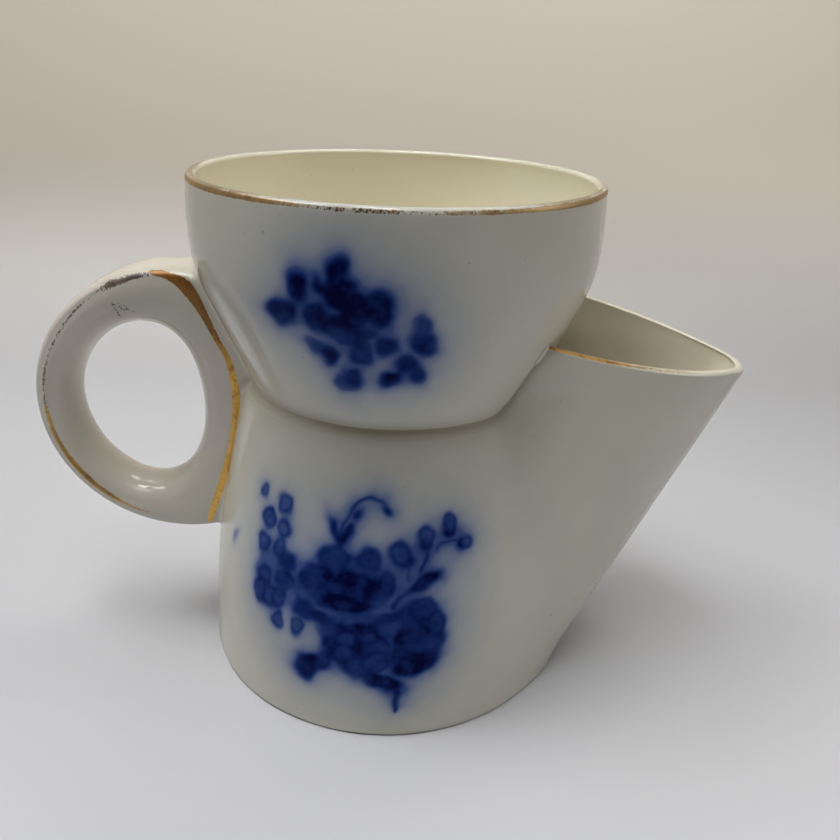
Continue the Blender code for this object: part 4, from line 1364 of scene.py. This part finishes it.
def make_handle(white):
    """Ring with a crowned outside, softly swelling sides and a round edge to the finger hole."""
    angles = np.linspace(-math.pi, math.pi, HANDLE_COLUMNS, endpoint=False)
    stop = handle_stop(angles)
    free = np.clip(1.0 + (stop - ring_edge(0.0, angles)) / BULGE_FADE, 0.0, 1.0)
    ring_half = HANDLE_HALF - SIDE_BULGE * free
    hole_half = HANDLE_HALF - SIDE_BULGE
    loop = []
    for turn in np.linspace(-math.pi / 2, math.pi / 2, CROWN_ROWS):
        depth, width = rounded(turn)
        loop.append((np.minimum(ring_edge(HANDLE_EDGE * (1 - depth), angles), stop), ring_half * width))
    ring = np.minimum(ring_edge(HANDLE_EDGE, angles), stop)
    hole = hole_edge(HOLE_ROUND, angles)
    side = []
    for share in np.linspace(0.0, 1.0, SIDE_ROWS)[1:-1]:
        swell = np.where(share < 0.5, ring_half, hole_half)
        swell = HANDLE_HALF - (HANDLE_HALF - swell) * (2 * share - 1) ** 2
        side.append((ring + (hole - ring) * share, swell))
    loop += side
    for turn in np.linspace(math.pi / 2, -math.pi / 2, HOLE_ROWS):
        edge = hole_edge(HOLE_ROUND * (1 - math.cos(turn)), angles)
        loop.append((edge, np.full_like(angles, hole_half * math.sin(turn))))
    loop += [(reach, -swell) for reach, swell in side[::-1]]
    along, up = np.cos(angles), np.sin(angles)
    points = np.stack([np.stack([HOLE_X + reach * along, y, HOLE_HEIGHT + reach * up], axis=-1)
                       for reach, y in loop])
    count = points.shape[0] * points.shape[1]
    faces = [[v % count for v in face[::-1]] for face in grid_faces(len(loop) + 1, len(angles))]
    mesh = new_mesh("handle_ware", points.reshape(-1, 3), faces)
    gild_handle(mesh)
    add_piece("handle_ware", mesh, white, "white_glaze", "handle")


def ring_stop(degrees, inset, half_width, strength):
    """Stop of a painted line, this far inside the outer edge of the ring."""
    turn = math.radians(degrees)
    reach = RING_RADIUS - inset
    return RING_X + reach * math.cos(turn), RING_HEIGHT + reach * math.sin(turn), half_width, strength


def wall_stop(height, gap, half_width, strength):
    """Stop of a painted line, this far from the wall where the handle's side meets it."""
    wall = math.sqrt(float(vessel_radius(height)) ** 2 - HANDLE_HALF ** 2)
    return -wall - gap, height, half_width, strength


def ring_line(stops):
    """Painted line round the ring, beside its edge."""
    turns, half_widths, strengths = zip(*stops)
    points = []
    for turn in np.arange(turns[0], turns[-1] + RING_LINE_STEP / 2, RING_LINE_STEP):
        inset = np.interp(turn, RING_LINE_TURNS, RING_LINE_INSETS)
        half_width = np.interp(turn, turns, half_widths)
        points.append(ring_stop(turn, inset, half_width, np.interp(turn, turns, strengths)))
    return points


def saddle_line():
    """Painted line up beside the wall and out along the top of the ring."""
    beside_wall = [wall_stop(*stop) for stop in SADDLE_BESIDE_WALL]
    return curved(beside_wall + [ring_stop(*stop) for stop in SADDLE_ON_RING])


def gild_handle(mesh):
    """Saddle line beside the wall and thin lines on the ring's edges, the same on both sides."""
    x, y, z = mesh_places(mesh).T
    flat = np.clip((np.abs(y) - HANDLE_HALF + SIDE_PAINT_START) / SIDE_PAINT_FADE, 0.0, 1.0)
    upper = line_strength(x, z, ring_line(RING_UPPER_LINE))
    lower = line_strength(x, z, ring_line(RING_LOWER_LINE))
    strokes = [[ring_stop(*stop) for stop in smudge] for smudge in SMUDGES]
    smudged = np.max([line_strength(x, z, stroke) for stroke in strokes], axis=0) * (y < 0)
    gold = np.maximum(line_strength(x, z, saddle_line()), lower)
    set_values(mesh, "gilt", np.maximum(gold, UPPER_LINE_GOLD * upper) * flat)
    set_values(mesh, "soot", np.maximum(upper, smudged) * flat)
    rubbed = np.clip((z - SADDLE_GOLD_TOP) / (SADDLE_BROWN - SADDLE_GOLD_TOP), 0.0, 1.0)
    set_values(mesh, "browned", SADDLE_BROWNED * rubbed)
    set_values(mesh, "dulled", np.where(lower > LOWER_LINE_LEAST, LOWER_LINE_DULLED, 0.0))


def hollow_fillet_tree():
    """Spans a hollow strip from wall to wall along a path whose points carry the places to span."""
    tree, keys, (path, steps, finish) = new_tree(
        "hollow_fillet", path="Geometry", steps="Int", finish="Material")
    index = wire(tree, "GeometryNodeInputIndex", "Index", {})
    stations = wire(tree, "GeometryNodeAttributeDomainSize", "Point Count", {"Geometry": path})
    around = steps + 2.0
    loops = around + 1.0
    grid = wire(tree, "GeometryNodeMeshGrid", "Mesh", {"Vertices X": stations, "Vertices Y": loops})
    row = index % loops % around
    station = calc(tree, "FLOOR", index / loops)
    share = (row / steps).clamped()
    hidden = calc(tree, "GREATER_THAN", row, steps + 0.5)
    start, bend, end, behind, start_way, end_way = [
        carried(tree, path, name, station) for name in FILLET_CARRIES]
    first = mix_vectors(tree, share, start, bend)
    second = mix_vectors(tree, share, bend, end)
    hollow = mix_vectors(tree, share, first, second)
    spanned = wire(tree, "GeometryNodeSetPosition", "Geometry",
                   {"Geometry": grid, "Position": mix_vectors(tree, hidden, hollow, behind)})
    way = mix_vectors(tree, share, start_way, end_way)
    facing = wire(tree, "GeometryNodeStoreNamedAttribute", "Geometry",
                  {"Geometry": spanned, "Name": "facing", "Value": way},
                  data_type="FLOAT_VECTOR", domain="POINT")
    finish_tree(tree, smooth(tree, sealed(tree, facing)), finish)
    return tree, keys


def carried(tree, path, name, station):
    """What a point of a path carries under this name."""
    value = wire(tree, "GeometryNodeInputNamedAttribute", "Attribute", {"Name": name},
                 data_type="FLOAT_VECTOR")
    return read_at(tree, path, value, station)


def mix_vectors(tree, share, first, second):
    """Place between two others."""
    return wire(tree, "ShaderNodeMix", 1, {0: share, 4: first, 5: second}, data_type="VECTOR")


def fillet_mesh(name, stations, finish):
    """Closed strip along its stations, run out to a point at both ends."""
    ends = [tuple([station[3]] * 4) + station[4:] for station in (stations[0], stations[-1])]
    stations = [ends[0]] + stations + [ends[1]]
    path = bpy.data.meshes.new(name)
    path.from_pydata([(0.0, 0.0, 0.0)] * len(stations), [], [])
    for number, key in enumerate(FILLET_CARRIES):
        values = np.array([station[number] for station in stations], float)
        if number < 4:
            values = (values + (AXIS_SHIFT, 0.0, 0.0)) * MM
        path.attributes.new(key, "FLOAT_VECTOR", "POINT").data.foreach_set("vector", values.ravel())
    mesh = grow_mesh(path, *hollow_fillet_tree(), steps=FILLET_STEPS, finish=finish)
    facing = np.zeros(3 * len(mesh.vertices), np.float32)
    mesh.attributes["facing"].data.foreach_get("vector", facing)
    facing = unit(facing.reshape(-1, 3))
    own = np.array([normal.vector for normal in mesh.vertex_normals])
    if np.sum(own * facing) < 0:
        mesh.flip_normals()
    mesh.normals_split_custom_set_from_vertices(facing.tolist())
    mesh.attributes.remove(mesh.attributes["facing"])
    return mesh


def unit(vectors):
    """Vectors of length 1."""
    return vectors / np.linalg.norm(vectors, axis=-1, keepdims=True)


def wall_normal(radius_at, turn, z):
    """Outward normal of a wall whose radius is a function of direction and height."""
    small = 0.01
    radius = radius_at(turn, z)
    climb = (radius_at(turn, z + small) - radius_at(turn, z - small)) / (2 * small)
    sway = (radius_at(turn + small, z) - radius_at(turn - small, z)) / (2 * small * radius)
    way = np.array([math.cos(turn), math.sin(turn), 0.0])
    beside = np.array([-math.sin(turn), math.cos(turn), 0.0])
    return unit(way - float(sway) * beside - float(climb) * np.array([0.0, 0.0, 1.0]))


def cup_wall(turn, z):
    """Radius of the cup, the same in every direction."""
    return cup_radius(z)


def vessel_wall(turn, z):
    """Radius of the vessel, the same in every direction."""
    return vessel_radius(z)


def make_waist_slip(slip, turns, top, front_end, back_end):
    """Slip wiped into the crease between the cup and the shoulder, from the handle to the lip."""
    clear = math.asin((HANDLE_HALF - LINE_UNDER_HANDLE) / WAIST_RADIUS)
    for side_name, low, high in (("front", -math.pi + clear, front_end), ("back", back_end, math.pi - clear)):
        stations = []
        for turn in np.linspace(low, high, LINE_STATIONS):
            level = float(np.interp(turn, turns, top))
            way = np.array([math.cos(turn), math.sin(turn), 0.0])
            up = way * float(cup_radius(level + SLIP_LEG)) + (0, 0, level + SLIP_LEG)
            mid = way * float(cup_radius(level)) + (0, 0, level)
            down = way * float(outer_radius(turn, level - SLIP_LEG)) + (0, 0, level - SLIP_LEG)
            cup_side = wall_normal(cup_wall, turn, level + SLIP_LEG)
            shoulder_side = wall_normal(outer_radius, turn, level - SLIP_LEG)
            stations.append((up, mid, down, mid - LINE_ROOT * way, cup_side, shoulder_side))
        name = "waist_slip_" + side_name
        mesh = fillet_mesh(name + "_line", stations, slip)
        # the crease's painted shade and dirt carry on over the slip line
        set_values(mesh, "crease_shade_dirt", crease_shade_and_dirt(mesh_places(mesh), turns, top))
        add_piece(mesh.name, mesh, slip, "slip_seam", name)


def ring_on_wall(turn, upper):
    """Point where the crowned face of the ring meets the vessel."""
    y = HANDLE_HALF * math.sin(turn)
    radius = RING_RADIUS - RING_CROWN + RING_CROWN * math.cos(turn)
    z = np.linspace(RING_HEIGHT, RING_HEIGHT + (radius if upper else -radius), ROOT_SEARCH_STEPS)
    x = -np.sqrt(vessel_radius(z) ** 2 - y * y)
    inside = (x - RING_X) ** 2 + (z - RING_HEIGHT) ** 2 <= radius ** 2
    last = np.nonzero(inside)[0][-1]
    return np.array([x[last], y, z[last]])


def smoothed(values, rounds):
    """Values evened out with their neighbours, with both ends kept."""
    values = np.array(values, float)
    for _ in range(rounds):
        values[1:-1] = (values[:-2] + 2 * values[1:-1] + values[2:]) / 4
    return values


def handle_root(side):
    """Line where one half of the handle meets the vessel, from the foot of the ring to its top."""
    quarter = np.linspace(0.0, math.pi / 2, ROOT_STEPS)
    low = [ring_on_wall(side * t, False) for t in quarter]
    high = [ring_on_wall(side * t, True) for t in quarter[::-1]]
    outline = np.array(low + high)
    shares = run_shares(outline)
    even = np.linspace(0.0, 1.0, ROOT_STATIONS)
    y = np.interp(even, shares, outline[:, 1])
    z = np.interp(even, shares, outline[:, 2])
    return np.stack([-np.sqrt(vessel_radius(z) ** 2 - y * y), y, z], axis=1)


def along_handle(point, leg, crowned):
    """Moves a point of the root out along the handle's own surface."""
    radius = math.hypot(point[0] - RING_X, point[2] - RING_HEIGHT)
    turn = math.atan2(point[2] - RING_HEIGHT, point[0] - RING_X)
    turn += math.copysign(leg / radius, point[2] - RING_HEIGHT)
    on_ring = np.array([RING_X + radius * math.cos(turn), point[1], RING_HEIGHT + radius * math.sin(turn)])
    return crowned * on_ring + (1 - crowned) * (point - (leg, 0.0, 0.0))


def slip_leg(flank, over_ring, height, over):
    """Length of a fillet's leg along the root, from its length at the foot and what it gains to the top."""
    on_flank = flank[0] + flank[1] * height
    on_ring = over_ring[0] + over_ring[1] * height
    return smoothed(on_flank * (1 - over) + over * on_ring, LEG_ROUNDS)


def make_handle_slip(slip):
    """Hollow fillets where the handle grows out of the cup and the reservoir."""
    for side_name, side in (("front", -1.0), ("back", 1.0)):
        root = handle_root(side)
        run = unit(np.gradient(root[:, 1:], axis=0))
        outward = np.stack([run[:, 1], -run[:, 0]], axis=1) * side
        handle_side = np.stack([np.zeros(len(root)), outward[:, 0], outward[:, 1]], axis=1)
        handle_side = unit(smoothed(handle_side, SIDE_ROUNDS))
        outward = unit(smoothed(outward, OUTWARD_ROUNDS))
        flank_levels = root[np.abs(root[:, 1]) > HANDLE_HALF - FLANK_EDGE, 2]
        flank_top = float(np.max(flank_levels))
        flank_foot = float(np.min(flank_levels))
        middle = (flank_top + flank_foot) / 2
        reach = np.abs(root[:, 2] - middle) / ((flank_top - flank_foot) / 2)
        crowned = smoothed(np.clip((reach - CROWNED_FROM) / CROWNED_FADE, 0.0, 1.0), CROWN_ROUNDS)
        height = np.clip((root[:, 2] - flank_foot) / (flank_top - flank_foot), 0.0, 1.0)
        over = smoothed(outward[:, 1] ** 2, CROWN_ROUNDS)
        handle_leg = slip_leg(HANDLE_LEG_FLANK, HANDLE_LEG_OVER, height, over)
        wall_leg = slip_leg(WALL_LEG_FLANK, WALL_LEG_OVER, height, over)
        stations = []
        for i, point in enumerate(root):
            y, z = point[1:] + wall_leg[i] * outward[i]
            on_wall = np.array([-math.sqrt(float(vessel_radius(z)) ** 2 - y * y), y, z])
            on_handle = along_handle(point, handle_leg[i], crowned[i])
            facing = wall_normal(vessel_wall, math.atan2(y, on_wall[0]), z)
            behind = point + SLIP_ROOT * np.array([1.0, -outward[i, 0], -outward[i, 1]])
            stations.append((on_handle, point, on_wall, behind, handle_side[i], facing))
        name = "handle_slip_" + side_name
        mesh = fillet_mesh(name + "_fillet", stations, slip)
        gild_handle(mesh)
        add_piece(mesh.name, mesh, slip, "slip_seam", name)


def from_lowest(face):
    """The same face, begun at its lowest vertex, so that its list is the same every time."""
    first = face.index(min(face))
    return face[first:] + face[:first]


def make_lip_slip(slip, turns, top, front_end, back_end):
    """Dab of slip wiped into each corner between the end of the lip and the cup, and down the crease."""
    for side_name, end in (("front", front_end), ("back", back_end)):
        corner, below = [crease_point(turn, turns, top) for turn in (end, end * DAB_LOWER_TURN)]
        along = unit(corner - below)
        way = unit(corner * (1.0, 1.0, 0.0))
        across = unit(np.cross(along, way))
        out = np.cross(across, along)
        middle = corner - DAB_DROP * along
        bm = bmesh.new()
        bmesh.ops.create_uvsphere(bm, u_segments=DAB_SIDES[0], v_segments=DAB_SIDES[1], radius=1.0)
        axes = np.array([out * DAB_SIZES[0], across * DAB_SIZES[1], along * DAB_SIZES[2]])
        verts = np.array([v.co for v in bm.verts]) @ axes + middle
        faces = sorted(from_lowest([v.index for v in f.verts]) for f in bm.faces)
        bm.free()
        if np.linalg.det(axes) < 0:
            faces = [face[::-1] for face in faces]
        mesh = new_mesh("lip_slip_" + side_name + "_dab", verts, faces)
        add_piece(mesh.name, mesh, slip, "slip_seam", "lip_slip_" + side_name)


def crease_point(turn, turns, top):
    """Place in the crease under the cup, or under the lip's end."""
    level = float(np.interp(turn, turns, top))
    radius = float(cup_radius(level))
    return np.array([radius * math.cos(turn), radius * math.sin(turn), level])


# Stage

def sweep_mesh():
    """Floor that rises softly into walls far away on all sides."""
    heights = [(0.0, 0.0)]
    for angle in np.linspace(0.0, math.pi / 2, SWEEP_ROWS):
        heights.append((SWEEP_BORDER + SWEEP_RADIUS * math.sin(angle), SWEEP_RADIUS * (1 - math.cos(angle))))
    heights.append((heights[-1][0], SWEEP_TOP))
    left, right, front, back = SWEEP_FLOOR
    rows = []
    for out, up in heights:
        row = []
        for x, y, first in ((right, back, 0), (left, back, 90), (left, front, 180), (right, front, 270)):
            for turn in np.radians(first + np.linspace(0.0, 90.0, SWEEP_CORNER_STEPS)):
                reach = SWEEP_CORNER + out
                row.append((x + reach * math.cos(turn), y + reach * math.sin(turn), up))
        rows.append(row)
    count = len(rows[0])
    faces = [list(range(count))]
    for i in range(len(rows) - 1):
        for j in range(count):
            k = (j + 1) % count
            faces.append([i * count + j, (i + 1) * count + j, (i + 1) * count + k, i * count + k])
    mesh = bpy.data.meshes.new("paper_sweep")
    mesh.from_pydata([point for row in rows for point in row], [], faces)
    mesh.polygons.foreach_set("use_smooth", [True] * len(mesh.polygons))
    return mesh


def paper():
    """Pale paper, with tones that change with the depth, holding a painted shadow behind the ware and painted
    warm light far back, and a shade far from the middle.
    """
    material, tree, place = new_material("paper")
    parts = put(tree, "ShaderNodeSeparateXYZ", {"Vector": place}).outputs
    across, depth = Wire(tree, parts["X"]), Wire(tree, parts["Y"])
    near, far = FLOOR_DEPTHS
    # tones by depth, with painted shadow behind the ware and painted warm light far back
    colour = ramp(tree, ((depth - near) / (far - near)).clamped(), FLOOR_PAINTED_LIGHT_TONES)
    colour = blend(tree, noise(tree, place, PAPER_GRAIN, 3.0) * FLECK_SHARE, colour, PAPER_FLECK)
    aside = calc(tree, "ABSOLUTE", across).between(*SHADE_ASIDE)
    in_front = (depth * -1.0).between(*SHADE_IN_FRONT)
    colour = blend(tree, calc(tree, "MAXIMUM", aside, in_front), colour, FLOOR_SHADE)
    matt = surface_of(tree, {"Base Color": colour, "Roughness": PAPER_ROUGHNESS})
    put(tree, "ShaderNodeOutputMaterial", {"Surface": matt})
    return material


def make_stage():
    """Sweep of paper under and behind the ware."""
    mesh = sweep_mesh()
    sweep = bpy.data.objects.new("paper_sweep", mesh)
    bpy.context.scene.collection.objects.link(sweep)
    mesh.materials.append(paper())


def add_soft_light(name, place, target, size, power, colour, spread):
    """Rectangular lamp aimed at a target, with its power in watts and its spread in degrees."""
    data = bpy.data.lights.new(name, "AREA")
    data.shape = "RECTANGLE"
    data.size, data.size_y = size
    data.energy = power
    data.color = colour
    data.spread = math.radians(spread)
    lamp = bpy.data.objects.new(name, data)
    lamp.location = place
    lamp.rotation_euler = (Vector(target) - Vector(place)).to_track_quat("-Z", "Y").to_euler()
    bpy.context.scene.collection.objects.link(lamp)


def make_lights():
    """Wide soft light from above, weak lamps at the sides and a wash on the wall."""
    for name, place, target, size, power, colour, spread in (
            ("wide_top", (0.0, 0.1, 1.4), (0.0, 0.1, 0.0), (2.2, 2.2), 5.45, (1.0, 0.99, 0.98), 180),
            ("wall_left", (-0.7, 0.7, 2.0), (-0.7, 1.6, 0.4), (1.0, 0.6), 8.2, (1.0, 0.97, 0.94), 120),
            ("wall_right", (0.7, 0.7, 2.0), (0.7, 1.4, 0.3), (1.0, 0.6), 9.2, (1.0, 0.97, 0.92), 120),
            ("right_window", (1.2, 0.0, 0.7), (0.0, 0.0, 0.06), (0.7, 0.5), 0.31, LAMP_WHITE, 60),
            ("over_left", (-0.6, 0.0, 1.1), (0.0, 0.0, 0.0), (0.5, 0.5), 0.52, (0.98, 0.99, 1.0), 50),
            ("overhead", (-0.10, -0.07, 1.1), (-0.02, -0.02, 0.0), (1.2, 0.25), 0.48, LAMP_WHITE, 34),
            ("right_floor", (0.5, 0.5, 1.1), (0.5, 0.5, 0.0), (0.4, 0.4), 0.15, LAMP_WHITE, 50),
            ("over_front", (0.0, -0.45, 1.1), (0.0, 0.0, 0.0), (0.9, 0.3), 0.14, LAMP_WHITE, 40)):
        add_soft_light(name, place, target, size, power, colour, spread)
    world = bpy.data.worlds.new("studio")
    bpy.context.scene.world = world
    world.use_nodes = True
    world.node_tree.nodes["Background"].inputs["Strength"].default_value = 0.0


def make_camera():
    """Camera that stands where the photo was taken."""
    data = bpy.data.cameras.new("camera")
    data.lens = CAMERA_LENS
    data.sensor_width = CAMERA_SENSOR
    data.clip_start = CAMERA_CLIP
    camera = bpy.data.objects.new("camera", data)
    turn = Euler([math.radians(degrees) for degrees in CAMERA_TURN])
    camera.matrix_world = Matrix.LocRotScale(CAMERA_PLACE, turn, None)
    bpy.context.scene.collection.objects.link(camera)
    bpy.context.scene.camera = camera


lower_white = glazed("reservoir_glaze", WARE_WHITE, WARE_SHADE, printed=True,
                     lined=(SPOUT_CREAM, SPOUT_CREAM_DEEP))
cup_white = glazed("soap_cup_glaze", WARE_WHITE, WARE_SHADE, printed=True, lined=(CUP_CREAM, CUP_CREAM_DEEP))
handle_white = glazed("handle_glaze", HANDLE_WHITE, WARE_SHADE, roughness=0.07, waviness=0.22)
slip_white = glazed("slip_glaze", HANDLE_WHITE, WARE_WHITE, roughness=0.14)

wall_turns, wall_tops, front_corner, back_corner = make_lower_ware(lower_white)
make_soap_cup(cup_white, wall_turns, wall_tops)
make_handle(handle_white)
make_waist_slip(slip_white, wall_turns, wall_tops, front_corner, back_corner)
make_handle_slip(slip_white)
make_lip_slip(slip_white, wall_turns, wall_tops, front_corner, back_corner)
make_stage()
make_lights()
make_camera()

bpy.context.scene.view_settings.view_transform = "Standard"
